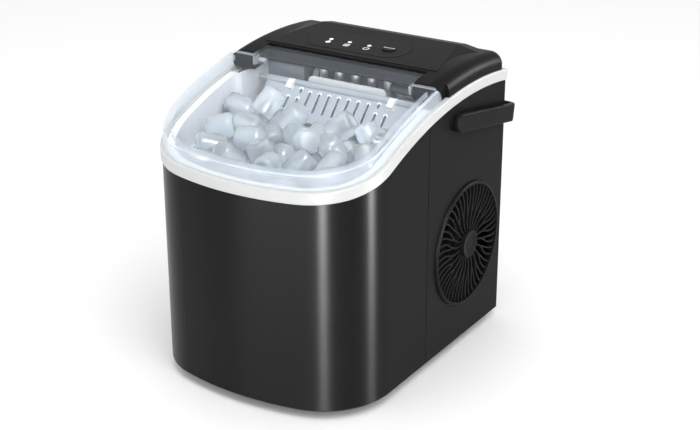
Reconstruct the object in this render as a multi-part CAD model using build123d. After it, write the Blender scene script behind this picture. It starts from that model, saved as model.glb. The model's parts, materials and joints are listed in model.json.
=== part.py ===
from build123d import *
import os
from math import asin, cos, hypot, pi, sin, sqrt

# A countertop ice maker. Lengths are millimetres. X runs to the right as seen from the front,
# Z runs up from the table, and "depth" is the distance behind the front of the black shell.

# Cabinet
body_width = 230
body_depth = 288
half_width = body_width / 2
grille_radius = 61
machine_room_gap = 16
machine_room = 2 * grille_radius + machine_room_gap
bin_rear = body_depth - machine_room
bow_radius = 265.5
front_corner_radius = 69
rear_corner_radius = 5
foot_height = 8
shell_wall = 2.5
seam_before_bin_rear = 10
seam_depth = bin_rear - seam_before_bin_rear
seam_groove = 0.8
bottom_chamfer = 1.5

# Side line of the white band: a dip at the front that runs into a crest near the back
crest_from_back = 63
crest_depth = body_depth - crest_from_back
crest_height = 254.4
crest_radius = 380
dip_radius = 230
front_drop = 49.7
front_height = crest_height - front_drop
band_height = 10.5
band_proud = 1.5
band_inset = 4
band_rounding = 1.2
ledge_height = 6
ledge_inset = 9
top_rise = 27

# General clearances
slip = 0.3
close_fit = 0.05
tight_fit = 0.02

# Base plate, feet and screws
base_thickness = 2
foot_radius = 9
foot_from_side = 39
foot_across = half_width - foot_from_side
foot_front = 48
foot_from_back = 15
foot_rear = body_depth - foot_from_back
boss_side = 9
boss_height = 20
boss_before_bin_rear = 46
boss_behind_bin = 22
boss_from_back = 16
boss_depths = (bin_rear - boss_before_bin_rear, bin_rear + boss_behind_bin, body_depth - boss_from_back)
screw_radius = 1.5
screw_head_radius = 3
screw_head_height = 1.6
foot_stem_radius = 4
foot_rounding = 1.5
foot_cap = 1.5
base_slots = 5
base_slot_length = 60
base_slot_from_side = 70
base_slot_across = half_width - base_slot_from_side
base_slot_behind_bin = 26
base_slot_depth = bin_rear + base_slot_behind_bin

# Air slots
slot_step = 9
slot_height = 3.5
side_slots = 11
side_slot_width = 84
rear_slots = 11
rear_slot_width = 100
rear_slot_from_side = 73
rear_slot_across = half_width - rear_slot_from_side

# Lid and its hinge
lid_inset = 1.5
lid_wall = 2.2
lid_seat = 0.4
lid_rounding = 5
lid_rib_inset = 9
lid_rib_wall = 1.6
lid_rib_drop = 4.5
hinge_behind_bin = 16
hinge_depth = bin_rear + hinge_behind_bin
hinge_below_top = 14.4
hinge_height = crest_height + top_rise - hinge_below_top
hinge_pin_radius = 2
hinge_pin_length = 14
hinge_boss_radius = 5
nose_radius = 11.5
nose_gap = 0.8
recess_from_side = 27.5
recess_half = half_width - recess_from_side
tongue_behind_hinge = 11
tongue_rear = hinge_depth + tongue_behind_hinge
tongue_wall = 2.2
strip_foot = hinge_height
ear_before_hinge = 3
ear_rear = hinge_depth - ear_before_hinge
ear_radius = 15
lid_side_before_hinge = 10
lid_side_rear = hinge_depth - lid_side_before_hinge

# Top cover
cover_inset = 0.5
cover_rounding = 13
cover_wall = 3
recess_behind_hinge = 17
recess_rear = hinge_depth + recess_behind_hinge
ear_notch_from_side = 4.5
ear_notch_half = half_width - ear_notch_from_side
ear_notch_behind_hinge = 8.5
ear_notch_rear = hinge_depth + ear_notch_behind_hinge
plateau_behind_hinge = 20.5
plateau_front = hinge_depth + plateau_behind_hinge
plateau_front_from_side = 20
plateau_front_half = half_width - plateau_front_from_side
plateau_below_top = 1.2
plateau_front_height = crest_height + top_rise - plateau_below_top
plateau_rear_from_back = 28
plateau_rear = body_depth - plateau_rear_from_back
plateau_rear_from_side = 39
plateau_rear_half = half_width - plateau_rear_from_side
plateau_rise = 4.2
plateau_rear_height = plateau_front_height + plateau_rise
plateau_foot_from_side = 15
plateau_foot_half = half_width - plateau_foot_from_side
plateau_end_from_back = 13
plateau_end = body_depth - plateau_end_from_back
plateau_end_drop = 3.2
plateau_end_height = plateau_rear_height - plateau_end_drop

# Control panel, measured on the sloping plateau
panel_width = 108
panel_length = 44
panel_corner = 20
panel_thickness = 1.4
panel_sink = 1.2
panel_across = -7
panel_behind_front = 30.5
panel_depth = plateau_front + panel_behind_front
lens_radius = 2.1
lens_places = (-32, -11, 11)
button_radius = 6.75
button_place = 33
button_flange = 1.6
button_flange_height = 1
button_proud = 1.2
button_travel = 0.9
button_stem = 0.6
board_width = 96
board_length = 34
board_thickness = 1.6
board_drop = 6.8
board_boss_radius = 3
board_boss_across = 44
board_boss_along = 13
switch_side = 6

# Handle bail
handle_behind_hinge = 19
handle_pivot_depth = hinge_depth + handle_behind_hinge
handle_below_crest = 18.4
handle_pivot_height = crest_height - handle_below_crest
handle_droop = 10.3
handle_gap = 3.5
handle_inner_half = half_width + handle_gap
handle_thickness = 5.5
handle_tall = 17.5
handle_past_back = 5
handle_reach = body_depth - handle_pivot_depth + handle_past_back
handle_bar = 5
handle_corner = 12
handle_rounding = 1.6
pivot_radius = 4
pivot_grip = 3.6
pivot_nut = 3

# Fan and its grille on the right side
grille_from_back = 13
fan_depth = body_depth - grille_radius - grille_from_back
fan_height = 106
grille_ring = 3
grille_hub_radius = 13.5
grille_rib_count = 24
grille_rib_width = 1.5
grille_rib_swing = 2.6
grille_thickness = 3
grille_proud = 3
grille_round = 2
grille_step = 0.8
grille_flange = 3.5
grille_flange_thickness = 1.8
grille_fork = 6
grille_cap = 2
grille_dish = 1.2
rotor_tip_gap = 11
rotor_radius = grille_radius - rotor_tip_gap
rotor_hub_radius = 18
rotor_height = 15
rotor_gap = 9.3
blade_count = 7
blade_thickness = 1.6
blade_pitch = 32
fan_shaft_radius = 2
fan_motor_radius = 20
fan_motor_length = 22
fan_motor_gap = 1.2
bracket_thickness = 2.5
bracket_trim = 14
bracket_side = 2 * grille_radius - bracket_trim
bracket_rim = 1.5
bracket_arm = 8
bracket_collar = 4

# Condenser
condenser_gap = 8
condenser_width = 24
condenser_trim = 30
condenser_run = 2 * grille_radius - condenser_trim
condenser_pitch = 20
condenser_rows = 6
coil_radius = 3.5
fin_count = 15
fin_thickness = 0.8
fin_margin = 11
condenser_foot = 50

# Compressor
compressor_trim = 25
compressor_radius = 0.6 * half_width - compressor_trim
compressor_from_side = 17
compressor_across = compressor_radius + compressor_from_side - half_width
compressor_from_back = 16
compressor_depth = body_depth - compressor_from_back - compressor_radius
compressor_height = 122
compressor_dome = 24
compressor_seam = 3
seam_rise = 67.1
compressor_foot_rim = 2
compressor_foot_side = 2 * (compressor_radius + compressor_foot_rim)
compressor_foot_thickness = 3
grommet_radius = 8
grommet_height = 9
grommet_inset = 6
grommet_places = compressor_radius - grommet_inset
grommet_cap = 2.5
terminal_width = 40
terminal_depth = 12
terminal_gap = 3.1
terminal_tall = 26

# Refrigerant lines
line_radius = 3
line_bend = 7
drier_radius = 9
drier_foot = 76
drier_length = 66
discharge_height = 104
discharge_back = 8
discharge_step = 27.5
drier_step = 16
valve_side = 14
valve_coil = 14
evaporator_from_back = 26
evaporator_rear = body_depth - evaporator_from_back
suction_step = 14
liquid_fall = 20
hanger_thickness = 2
hanger_width = 10

# Bin liner
bin_inset = 10
tank_inset = 16
liner_wall = 2
liner_floor = 28
bin_step = 104
tank_before_bin_rear = 6
tank_rear = bin_rear - tank_before_bin_rear
flange_thickness = 2.5
chamber_from_side = 17
chamber_half = half_width - chamber_from_side
chamber_from_back = 38
chamber_rear = body_depth - chamber_from_back
chamber_below_crest = 56.4
chamber_floor = crest_height - chamber_below_crest
chamber_above_crest = 2.6
chamber_top = crest_height + chamber_above_crest
evaporator_above_floor = 8
evaporator_drop = chamber_floor + evaporator_above_floor
foam_gap = 0.3
foam_below_front = 16.7
foam_top = front_height - foam_below_front
foam_behind_bin = 1.5
foam_rear = bin_rear + foam_behind_bin

# Ice basket
basket_gap = 2
basket_wall = 2
basket_rear_gap = 4.5
basket_rear = bin_rear - basket_rear_gap
basket_above_front = 0.3
basket_top = front_height + basket_above_front
basket_slot_width = 4
basket_slot_rows = 9
basket_slot_length = 60
basket_slot_margin = 16
basket_corner = 8

# Water tray, fingers and tilt drive
tray_behind_bin = 58
tray_depth = bin_rear + tray_behind_bin
tray_below_top = 33.4
tray_height = crest_height + top_rise - tray_below_top
tray_radius = 24
tray_wall = 2
tray_half = 48
evaporator_end = 10
evaporator_left = -tray_half - evaporator_end
tray_edge_drop = 4.2
tray_lip_half = 43
tray_lip_rise = 6
tray_hub_radius = 7
tray_shaft_radius = 3
finger_radius = 4.5
finger_rise = 17
finger_bottom = 13
finger_row = 8
finger_pitch = 18
motor_front = 16
motor_rear = 18
motor_below_shaft = 14
motor_foot = tray_height - motor_below_shaft
motor_above_shaft = 11
motor_top = tray_height + motor_above_shaft
motor_end_gap = 6
motor_face = tray_half + motor_end_gap
shaft_grip = 10
bearing_plate = 4
bearing_half = 11

# Ice shovel
shovel_behind_bin = 26
shovel_depth = bin_rear + shovel_behind_bin
shovel_below_tray = 1
shovel_height = tray_height - shovel_below_tray
shovel_side_gap = 14
shovel_half = chamber_half - shovel_side_gap
shovel_length = 38
shovel_slope = 47
shovel_thickness = 2
shovel_boss_radius = 3.5
shovel_pin_radius = 2
shovel_pin_grip = 9
full_slots = 7
low_slots = 2
slot_pitch = 10.8
slot_width = 2.4
slot_length = 21
slot_start = 7
slot_drop = 8
notch_start = 4.8
notch_length = 5
tab_across = 56
tab_side = 7

# Water supply and drain
pump_from_side = 49
pump_across = half_width - pump_from_side
pump_before_bin_rear = 46
pump_depth = bin_rear - pump_before_bin_rear
pump_radius = 17
pump_height = 40
hose_radius = 4
hose_beside_chamber = 7
hose_up_across = chamber_half + hose_beside_chamber
hose_behind_bin = 6
hose_up_depth = bin_rear + hose_behind_bin
hose_behind_shovel = 12
hose_entry_depth = shovel_depth + hose_behind_shovel
hose_below_tray = 20
hose_entry_height = tray_height - hose_below_tray
hose_side_gap = 14
hose_inside = chamber_half - hose_side_gap
hose_bend = 8
pump_outlet = 60
spout_above_tray = 6
spout_height = tray_height + spout_above_tray
spout_across = 44
spout_before_tray = 15
spout_depth = tray_depth - spout_before_tray
probe_from_side = 45
probe_across = probe_from_side - half_width
probe_before_bin_rear = 74
probe_depth = bin_rear - probe_before_bin_rear
probe_tall = 60
probe_width = 24
probe_rod_radius = 1.5
probe_spread = 7
sensor_before_bin_rear = 16
sensor_depth = bin_rear - sensor_before_bin_rear
sensor_above_front = 19.3
sensor_height = front_height + sensor_above_front
sensor_thick = 4
sensor_long = 16
sensor_tall = 12
drain_before_bin_rear = 42
drain_depth = bin_rear - drain_before_bin_rear
drain_height = 40
drain_radius = 6
drain_head_radius = 9
drain_head_length = 4
drain_spout_wall = 2.5
drain_grip = 1.6
gland_from_side = 31
gland_across = gland_from_side - half_width
gland_height = 34
gland_radius = 7
gland_lip = 3

# Worked out from the sizes above
top_room = crest_height + top_rise + 40
overrun = 25
corner_across = half_width - front_corner_radius
bow_lean = asin(corner_across / (bow_radius - front_corner_radius))
corner_depth = bow_radius - (bow_radius - front_corner_radius) * cos(bow_lean)
crest_centre = (crest_depth, crest_height - crest_radius)
arc_reach = crest_radius + dip_radius
front_span = hypot(crest_depth, crest_centre[1] - front_height)
span_y = crest_depth / front_span
span_z = (crest_centre[1] - front_height) / front_span
dip_along = (dip_radius**2 - arc_reach**2 + front_span**2) / (2 * front_span)
dip_across = sqrt(dip_radius**2 - dip_along**2)
dip_centre = (
    dip_along * span_y - dip_across * span_z,
    front_height + dip_along * span_z + dip_across * span_y,
)
base_top = foot_height + base_thickness
tray_outer = tray_radius + tray_wall


def profile_join(offset):
    share = (crest_radius + offset) / arc_reach
    return (
        crest_centre[0] + share * (dip_centre[0] - crest_centre[0]),
        crest_centre[1] + share * (dip_centre[1] - crest_centre[1]),
    )


def height_at(depth, offset):
    # Height of the band's lower edge at a depth, moved up square to itself by the offset
    if depth < profile_join(offset)[0]:
        return dip_centre[1] - sqrt((dip_radius - offset) ** 2 - (depth - dip_centre[0]) ** 2)
    return crest_centre[1] + sqrt((crest_radius + offset) ** 2 - (depth - crest_centre[0]) ** 2)


def under(offset):
    # Everything below the band line moved up by the offset
    start = -overrun
    stop = body_depth + overrun
    join = profile_join(offset)
    dip_middle = (start + join[0]) / 2
    crest_middle = (join[0] + stop) / 2
    outline = [
        ThreePointArc(
            (start, height_at(start, offset)), (dip_middle, height_at(dip_middle, offset)), join
        ),
        ThreePointArc(
            join, (crest_middle, height_at(crest_middle, offset)), (stop, height_at(stop, offset))
        ),
        Line((stop, height_at(stop, offset)), (stop, 0)),
        Line((stop, 0), (start, 0)),
        Line((start, 0), (start, height_at(start, offset))),
    ]
    return extrude(Plane.YZ * make_face(outline), amount=body_width, both=True)


def plan(inset, rear, rear_radius=0):
    # Outline from above: a bowed front, large front corners, straight sides and a flat back
    bow = bow_radius - inset
    corner = front_corner_radius - inset
    side = half_width - inset
    join = (bow * sin(bow_lean), bow_radius - bow * cos(bow_lean))
    turn = (bow_lean - pi / 2) / 2
    bend = (corner_across + corner * cos(turn), corner_depth + corner * sin(turn))
    outline = [
        ThreePointArc((-join[0], join[1]), (0, inset), join),
        ThreePointArc(join, bend, (side, corner_depth)),
        Line((side, corner_depth), (side, rear)),
        Line((side, rear), (-side, rear)),
        Line((-side, rear), (-side, corner_depth)),
        ThreePointArc((-side, corner_depth), (-bend[0], bend[1]), (-join[0], join[1])),
    ]
    face = make_face(outline)
    if rear_radius > 0:
        face = fillet(face.vertices().group_by(Axis.Y)[-1], rear_radius)
    return face


def full_plan(inset):
    return plan(inset, body_depth - inset, max(rear_corner_radius - inset, 1))


def prism(face, low, high):
    return Pos(0, 0, low) * extrude(face, amount=high - low)


def block(x_low, x_high, y_low, y_high, z_low, z_high):
    size = (x_high - x_low, y_high - y_low, z_high - z_low)
    return Pos(x_low, y_low, z_low) * Box(*size, align=(Align.MIN, Align.MIN, Align.MIN))


def rod_x(radius, x_low, x_high, depth, height):
    # A round bar along X
    return Pos(x_low, depth, height) * extrude(Plane.YZ * Circle(radius), amount=x_high - x_low)


def rod_z(radius, across, depth, low, high):
    return Pos(across, depth, low) * extrude(Circle(radius), amount=high - low)


def rod_y(radius, across, height, y_low, y_high):
    # A round bar along Y
    return Pos(across, y_high, height) * extrude(Plane.XZ * Circle(radius), amount=y_high - y_low)


def both_sides(shape):
    return [shape, mirror(shape, about=Plane.YZ)]


def joined(shapes):
    shapes = list(shapes)
    return shapes[0] + shapes[1:] if len(shapes) > 1 else shapes[0]


def top_edges(shape, offset):
    # The edges where a shape's walls meet the surface at this offset above the band line
    reach = 0.6
    smooth_depth = profile_join(offset)[0]
    chosen = []
    for edge in shape.edges():
        points = [edge @ share for share in (0.25, 0.5, 0.75)]
        on_line = all(abs(point.Z - height_at(point.Y, offset)) < reach for point in points)
        smooth = all(abs(point.Y - smooth_depth) < reach for point in points)
        if on_line and not smooth:
            chosen.append(edge)
    return chosen


def boss_places():
    across = half_width - shell_wall - boss_side / 2
    return [(side * across, depth) for depth in boss_depths for side in (-1, 1)]


def cabinet_shell():
    outer = prism(full_plan(0), foot_height, top_room)
    outer = chamfer(outer.faces().sort_by(Axis.Z)[0].outer_wire().edges(), bottom_chamfer)
    inner = prism(full_plan(shell_wall), 0, top_room)
    shell = (outer - inner) & under(0)
    groove = prism(full_plan(-1), 0, top_room) - prism(full_plan(seam_groove), 0, top_room)
    half_groove = seam_groove / 2
    return shell - (groove & block(
        -body_width, body_width, seam_depth - half_groove, seam_depth + half_groove, 0, top_room
    ))


def screw_boss(across, depth):
    half = boss_side / 2
    boss = block(
        across - half, across + half, depth - half, depth + half, base_top, base_top + boss_height
    )
    return boss - rod_z(screw_radius + tight_fit, across, depth, 0, base_top + boss_height - 2)


def front_housing():
    front = block(-body_width, body_width, -overrun, seam_depth, 0, top_room)
    bosses = [screw_boss(*place) for place in boss_places() if place[1] < seam_depth]
    shell = joined([cabinet_shell() & front] + bosses)
    return shell - rod_x(
        drain_radius + 2 * slip, -half_width - 1, -half_width + shell_wall + 1, drain_depth, drain_height
    )


def louvres(count, pitch, width, height):
    # A column of round-ended slots, drawn flat and centred
    slot = SlotOverall(width, height)
    return [Pos(0, (row - (count - 1) / 2) * pitch) * slot for row in range(count)]


def rear_housing():
    rear = block(-body_width, body_width, seam_depth, body_depth + overrun, 0, top_room)
    bosses = [screw_boss(*place) for place in boss_places() if place[1] > seam_depth]
    shell = joined([cabinet_shell() & rear] + bosses)
    # Round opening for the fan grille
    opening = grille_radius + slip
    shell -= rod_x(opening, half_width - shell_wall - 1, half_width + 1, fan_depth, fan_height)
    # Air slots on the left side and on the back
    side_face = Plane((-half_width + shell_wall + 1, fan_depth, fan_height), (0, 1, 0), (-1, 0, 0))
    shell -= [
        extrude(side_face * slot, amount=shell_wall + 2)
        for slot in louvres(side_slots, slot_step, side_slot_width, slot_height)
    ]
    back_face = Plane((rear_slot_across, body_depth - shell_wall - 1, fan_height), (1, 0, 0), (0, 1, 0))
    shell -= [
        extrude(back_face * slot, amount=shell_wall + 2)
        for slot in louvres(rear_slots, slot_step, rear_slot_width, slot_height)
    ]
    shell -= rod_y(
        gland_radius + slip, gland_across, gland_height, body_depth - shell_wall - 1, body_depth + 1
    )
    pivot_hole = rod_x(
        pivot_radius + tight_fit, half_width - shell_wall - 1, half_width + 1,
        handle_pivot_depth, handle_pivot_height,
    )
    return shell - both_sides(pivot_hole)


def base_plate():
    plate = prism(full_plan(shell_wall + slip), foot_height, base_top)
    for across, depth in boss_places():
        plate -= rod_z(screw_radius + slip, across, depth, 0, base_top + 1)
    for across, depth in foot_places():
        plate -= rod_z(foot_stem_radius, across, depth, 0, base_top + 1)
    slot = SlotOverall(base_slot_length, slot_height)
    for row in range(base_slots):
        place = Pos(base_slot_across, base_slot_depth + row * slot_step, foot_height - 1)
        plate -= place * extrude(slot, amount=base_thickness + 2)
    return plate


def foot_places():
    return [(side * foot_across, depth) for depth in (foot_front, foot_rear) for side in (-1, 1)]


def rubber_feet():
    pad = extrude(Circle(foot_radius), amount=foot_height)
    pad = fillet(pad.edges().sort_by(Axis.Z)[0], foot_rounding)
    stem = Pos(0, 0, foot_height) * extrude(Circle(foot_stem_radius), amount=base_thickness)
    cap = Pos(0, 0, base_top) * extrude(Circle(foot_stem_radius + 1), amount=foot_cap)
    foot = pad + stem + cap
    return [Pos(across, depth, 0) * foot for across, depth in foot_places()]


def base_screws():
    head = Pos(0, 0, foot_height - screw_head_height) * extrude(
        Circle(screw_head_radius), amount=screw_head_height
    )
    shank = Pos(0, 0, foot_height) * extrude(
        Circle(screw_radius), amount=base_thickness + boss_height - 4
    )
    slot = Pos(0, 0, foot_height - screw_head_height) * Box(screw_head_radius * 1.4, 0.8, 1.2)
    screw = head + shank - slot
    return [Pos(across, depth, 0) * screw for across, depth in boss_places()]


def trim_frame():
    outer = prism(full_plan(-band_proud), 0, top_room) & (under(band_height) - under(0))
    outer = fillet(top_edges(outer, band_height) + top_edges(outer, 0), band_rounding)
    upper_hole = prism(full_plan(band_inset), 0, top_room) - under(ledge_height)
    return outer - prism(full_plan(ledge_inset), 0, top_room) - upper_hole


def hinge_bar(radius, x_low, x_high):
    return rod_x(radius, x_low, x_high, hinge_depth, hinge_height)


def ear_outline():
    # Side view of the lid's rear end: rounded at the top rear, straight below
    top = height_at(ear_rear - ear_radius, top_rise) + 1
    face = make_face(Polyline(
        (-overrun, 0), (ear_rear, 0), (ear_rear, top), (-overrun, top), close=True
    ))
    corner = face.vertices().sort_by(Axis.X)[-2:].sort_by(Axis.Y)[-1]
    low_top = height_at(hinge_depth, top_rise) + overrun
    front = make_face(Polyline(
        (-overrun, 0), (ear_rear - ear_radius, 0), (ear_rear - ear_radius, low_top),
        (-overrun, low_top), close=True
    ))
    return fillet(corner, ear_radius) + front


def lid():
    tongue_half = recess_half - nose_gap
    skirt_inner = half_width - lid_inset - lid_wall
    above_seat = under(top_rise) - under(band_height + lid_seat)
    outer = prism(plan(lid_inset, body_depth + overrun / 2), 0, top_room) & above_seat
    rounded = [edge for edge in top_edges(outer, top_rise) if (edge @ 0.5).Y < body_depth]
    outer = fillet(rounded, lid_rounding)
    hollow = prism(plan(lid_inset + lid_wall, body_depth + overrun), 0, top_room)
    shell = outer - (hollow & under(top_rise - lid_wall))
    rib = prism(plan(lid_rib_inset, lid_side_rear - 6), 0, top_room)
    rib -= prism(plan(lid_rib_inset + lid_rib_wall, body_depth), 0, top_room)
    shell += rib & (under(top_rise - lid_wall) - under(top_rise - lid_wall - lid_rib_drop))
    # The middle runs further back than the sides, which stop short of the cover's noses
    main = block(-skirt_inner, skirt_inner, -overrun, lid_side_rear, 0, top_room)
    main -= both_sides(hinge_bar(nose_radius + nose_gap, tongue_half, half_width))
    tongue = block(-tongue_half, tongue_half, 0, tongue_rear, 0, top_room)
    ear = Pos(skirt_inner, 0, 0) * extrude(Plane.YZ * ear_outline(), amount=half_width - skirt_inner)
    shell = shell & joined([main, tongue] + both_sides(ear))
    # Rear strip and side walls of the tongue, with bosses round the hinge pins
    wall_rear = tongue_rear - tongue_wall
    strip = block(-tongue_half, tongue_half, wall_rear, tongue_rear, strip_foot, top_room)
    side_wall = block(
        tongue_half - tongue_wall, tongue_half, lid_side_rear - 2, tongue_rear, strip_foot - 2, top_room
    )
    boss = hinge_bar(hinge_boss_radius, tongue_half - hinge_pin_length / 2, tongue_half)
    walls = [strip & under(top_rise - 1)]
    walls += both_sides((side_wall & under(top_rise - 1)) + boss)
    shell = joined([shell] + walls)
    pin_hole = hinge_bar(hinge_pin_radius + close_fit, tongue_half - hinge_pin_length, half_width)
    pin_hole &= block(0, recess_half, 0, body_depth, 0, top_room)
    return shell - both_sides(pin_hole)


def lid_hinge_pins():
    start = recess_half - nose_gap - hinge_pin_length / 2
    pin = hinge_bar(hinge_pin_radius, start, start + hinge_pin_length)
    return both_sides(pin)


def plateau_section(depth, half, foot_half, height, foot):
    low = plateau_front_height - 2 * cover_wall
    points = [(-foot_half, low), (-foot_half, foot), (-half, height)]
    points += [(half, height), (foot_half, foot), (foot_half, low)]
    return Plane((0, depth, 0), (1, 0, 0), (0, -1, 0)) * make_face(Polyline(*points, close=True))


def plateau():
    nip = 0.6
    front = plateau_section(
        plateau_front, plateau_front_half - nip, plateau_front_half,
        plateau_front_height, plateau_front_height - nip,
    )
    middle = plateau_section(
        plateau_rear, plateau_rear_half, plateau_foot_half,
        plateau_rear_height, height_at(plateau_rear, top_rise) - nip,
    )
    end = plateau_section(
        plateau_end, plateau_rear_half, plateau_foot_half - 2,
        plateau_end_height, height_at(plateau_end, top_rise) - 2 * nip,
    )
    return loft([front, middle, end], ruled=True)


def panel_plane():
    rise = plateau_rear_height - plateau_front_height
    run = plateau_rear - plateau_front
    height = plateau_front_height + rise * (panel_depth - plateau_front) / run
    return Plane((panel_across, panel_depth, height), (1, 0, 0), (0, -rise, run))


def board_bosses():
    return [(x * board_boss_across, y * board_boss_along) for x in (-1, 1) for y in (-1, 1)]


def top_cover():
    rear_corner = cover_rounding + 1
    shoulder = prism(plan(cover_inset, body_depth - cover_inset, rear_corner), 0, top_room)
    shoulder &= under(top_rise) - under(band_height)
    shoulder = fillet(top_edges(shoulder, top_rise), cover_rounding)
    cover = shoulder + plateau()
    wall_front = recess_rear + cover_wall
    inner_inset = cover_inset + cover_wall
    hollow = prism(plan(inner_inset, body_depth - inner_inset, rear_corner), 0, top_room)
    hollow &= under(top_rise - cover_rounding + 2)
    roof = prism(plan(cover_rounding, body_depth - cover_rounding, rear_corner), 0, top_room)
    hollow += roof & under(top_rise - cover_wall - 0.8)
    cover -= hollow & block(-body_width, body_width, wall_front, body_depth, 0, top_room)
    # Centre recess for the lid's tongue, notches for its ears and barrel-shaped noses
    cover -= block(-recess_half, recess_half, -overrun, recess_rear, 0, top_room)
    notch = block(ear_notch_half, body_width, -overrun, ear_notch_rear, 0, top_room)
    cover -= both_sides(notch)
    front = block(recess_half - 1, body_width, -overrun, hinge_depth, 0, top_room)
    front -= hinge_bar(nose_radius, 0, body_width)
    cover -= both_sides(front)
    pin_end = recess_half - nose_gap + hinge_pin_length / 2
    pin_hole = hinge_bar(hinge_pin_radius + tight_fit, 0, pin_end + slip)
    cover -= both_sides(pin_hole)
    # Pocket for the control panel, with holes for the lamps and the button
    face = panel_plane()
    pocket = RectangleRounded(panel_width + 2 * slip, panel_length + 2 * slip, panel_corner + slip)
    cover -= face * Pos(0, 0, -panel_sink) * extrude(pocket, amount=4 * cover_wall)
    cover -= [face * Pos(x, 0) * extrude(Circle(lens_radius + slip), amount=4 * cover_wall, both=True)
              for x in lens_places]
    cover -= face * Pos(button_place, 0) * extrude(
        Circle(button_radius + button_flange + slip), amount=4 * cover_wall, both=True
    )
    boss_tall = board_drop - panel_sink - 0.6
    boss = Pos(0, 0, -board_drop) * extrude(Circle(board_boss_radius), amount=boss_tall)
    hole = Pos(0, 0, -board_drop) * extrude(Circle(screw_radius + tight_fit), amount=boss_tall - 1)
    for x, y in board_bosses():
        cover = cover + face * Pos(x, y) * boss - face * Pos(x, y) * hole
    return cover


def control_panel():
    plate = RectangleRounded(panel_width, panel_length, panel_corner)
    plate -= [Pos(x, 0) * Circle(lens_radius + close_fit) for x in lens_places]
    plate -= Pos(button_place, 0) * Circle(button_radius + slip)
    panel = Pos(0, 0, -panel_sink) * extrude(plate, amount=panel_thickness)
    return panel_plane() * panel


def indicator_lenses():
    proud = panel_thickness - panel_sink + 0.2
    lens = Pos(0, 0, -panel_sink - 1.4) * extrude(Circle(lens_radius), amount=proud + panel_sink + 1.4)
    lens = fillet(lens.edges().sort_by(Axis.Z)[-1], 0.3)
    return [panel_plane() * Pos(x, 0) * lens for x in lens_places]


def power_button():
    flange_top = -panel_sink - slip
    flange_low = flange_top - button_flange_height
    top = panel_thickness - panel_sink + button_proud
    cap = Pos(0, 0, flange_top) * extrude(Circle(button_radius), amount=top - flange_top)
    cap = fillet(cap.edges().sort_by(Axis.Z)[-1], 0.8)
    flange_circle = Circle(button_radius + button_flange)
    flange = Pos(0, 0, flange_low) * extrude(flange_circle, amount=button_flange_height)
    stem_low = flange_low - button_stem
    stem = Pos(0, 0, stem_low) * extrude(Circle(button_radius / 3), amount=button_stem)
    return panel_plane() * Pos(button_place, 0) * (cap + flange + stem)


def button_switch():
    stem_low = -panel_sink - slip - button_flange_height - button_stem
    top = stem_low - button_travel - slip
    body_top = top - 1
    body = Pos(0, 0, -board_drop) * extrude(Rectangle(switch_side, switch_side), amount=body_top + board_drop)
    plunger = Pos(0, 0, body_top) * extrude(Circle(switch_side / 4), amount=top - body_top)
    return panel_plane() * Pos(button_place, 0) * (body + plunger)


def control_board():
    board = Rectangle(board_width, board_length)
    board -= [Pos(x, y) * Circle(screw_radius + slip) for x, y in board_bosses()]
    board = Pos(0, 0, -board_drop - board_thickness) * extrude(board, amount=board_thickness)
    lamp_top = -panel_sink - 1.4 - slip
    lamp = Pos(0, 0, -board_drop) * extrude(Circle(lens_radius - 0.5), amount=lamp_top + board_drop)
    lamps = [Pos(x, 0) * lamp for x in lens_places]
    return panel_plane() * joined([board] + lamps)


def board_screws():
    low = -board_drop - board_thickness
    head_low = low - screw_head_height
    head = Pos(0, 0, head_low) * extrude(Circle(screw_head_radius), amount=screw_head_height)
    shank = Pos(0, 0, low) * extrude(Circle(screw_radius), amount=-low - panel_sink - 2)
    return [panel_plane() * Pos(x, y) * (head + shank) for x, y in board_bosses()]


def handle():
    # Drawn flat with the pivot at the origin and the bar to the rear, then drooped
    outer_half = handle_inner_half + handle_thickness
    rear = handle_reach + handle_bar
    radius = handle_tall / 2
    outline = make_face(Polyline(
        (-outer_half, -radius), (outer_half, -radius), (outer_half, rear), (-outer_half, rear), close=True
    ))
    outline = fillet(outline.vertices().group_by(Axis.Y)[-1], handle_corner)
    hole = make_face(Polyline(
        (-handle_inner_half, -radius - 1), (handle_inner_half, -radius - 1),
        (handle_inner_half, handle_reach), (-handle_inner_half, handle_reach), close=True
    ))
    hole = fillet(hole.vertices().group_by(Axis.Y)[-1], handle_corner - handle_bar)
    bail = extrude(outline - hole, amount=radius, both=True)
    ends = Circle(radius) + Pos(rear / 2, 0) * Rectangle(rear, 2 * radius)
    bail &= extrude(Plane.YZ * ends, amount=2 * outer_half, both=True)
    outside = [edge for edge in bail.edges() if edge.length > handle_thickness * 2]
    bail = fillet(outside, handle_rounding)
    socket_end = handle_inner_half + pivot_grip + slip
    socket = rod_x(pivot_radius + close_fit, handle_inner_half - 1, socket_end, 0, 0)
    bail -= both_sides(socket)
    return Pos(0, handle_pivot_depth, handle_pivot_height) * Rot(-handle_droop, 0, 0) * bail


def handle_pivots():
    def disc(radius, x_low, x_high):
        return rod_x(radius, x_low, x_high, handle_pivot_depth, handle_pivot_height)

    inner_wall = half_width - shell_wall
    collar_radius = handle_tall / 2 - 0.5
    collar = disc(collar_radius, half_width, handle_inner_half - slip)
    pin = disc(pivot_radius, inner_wall, handle_inner_half + pivot_grip)
    nut = disc(collar_radius, inner_wall - pivot_nut, inner_wall)
    return both_sides(collar + pin + nut)


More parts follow.
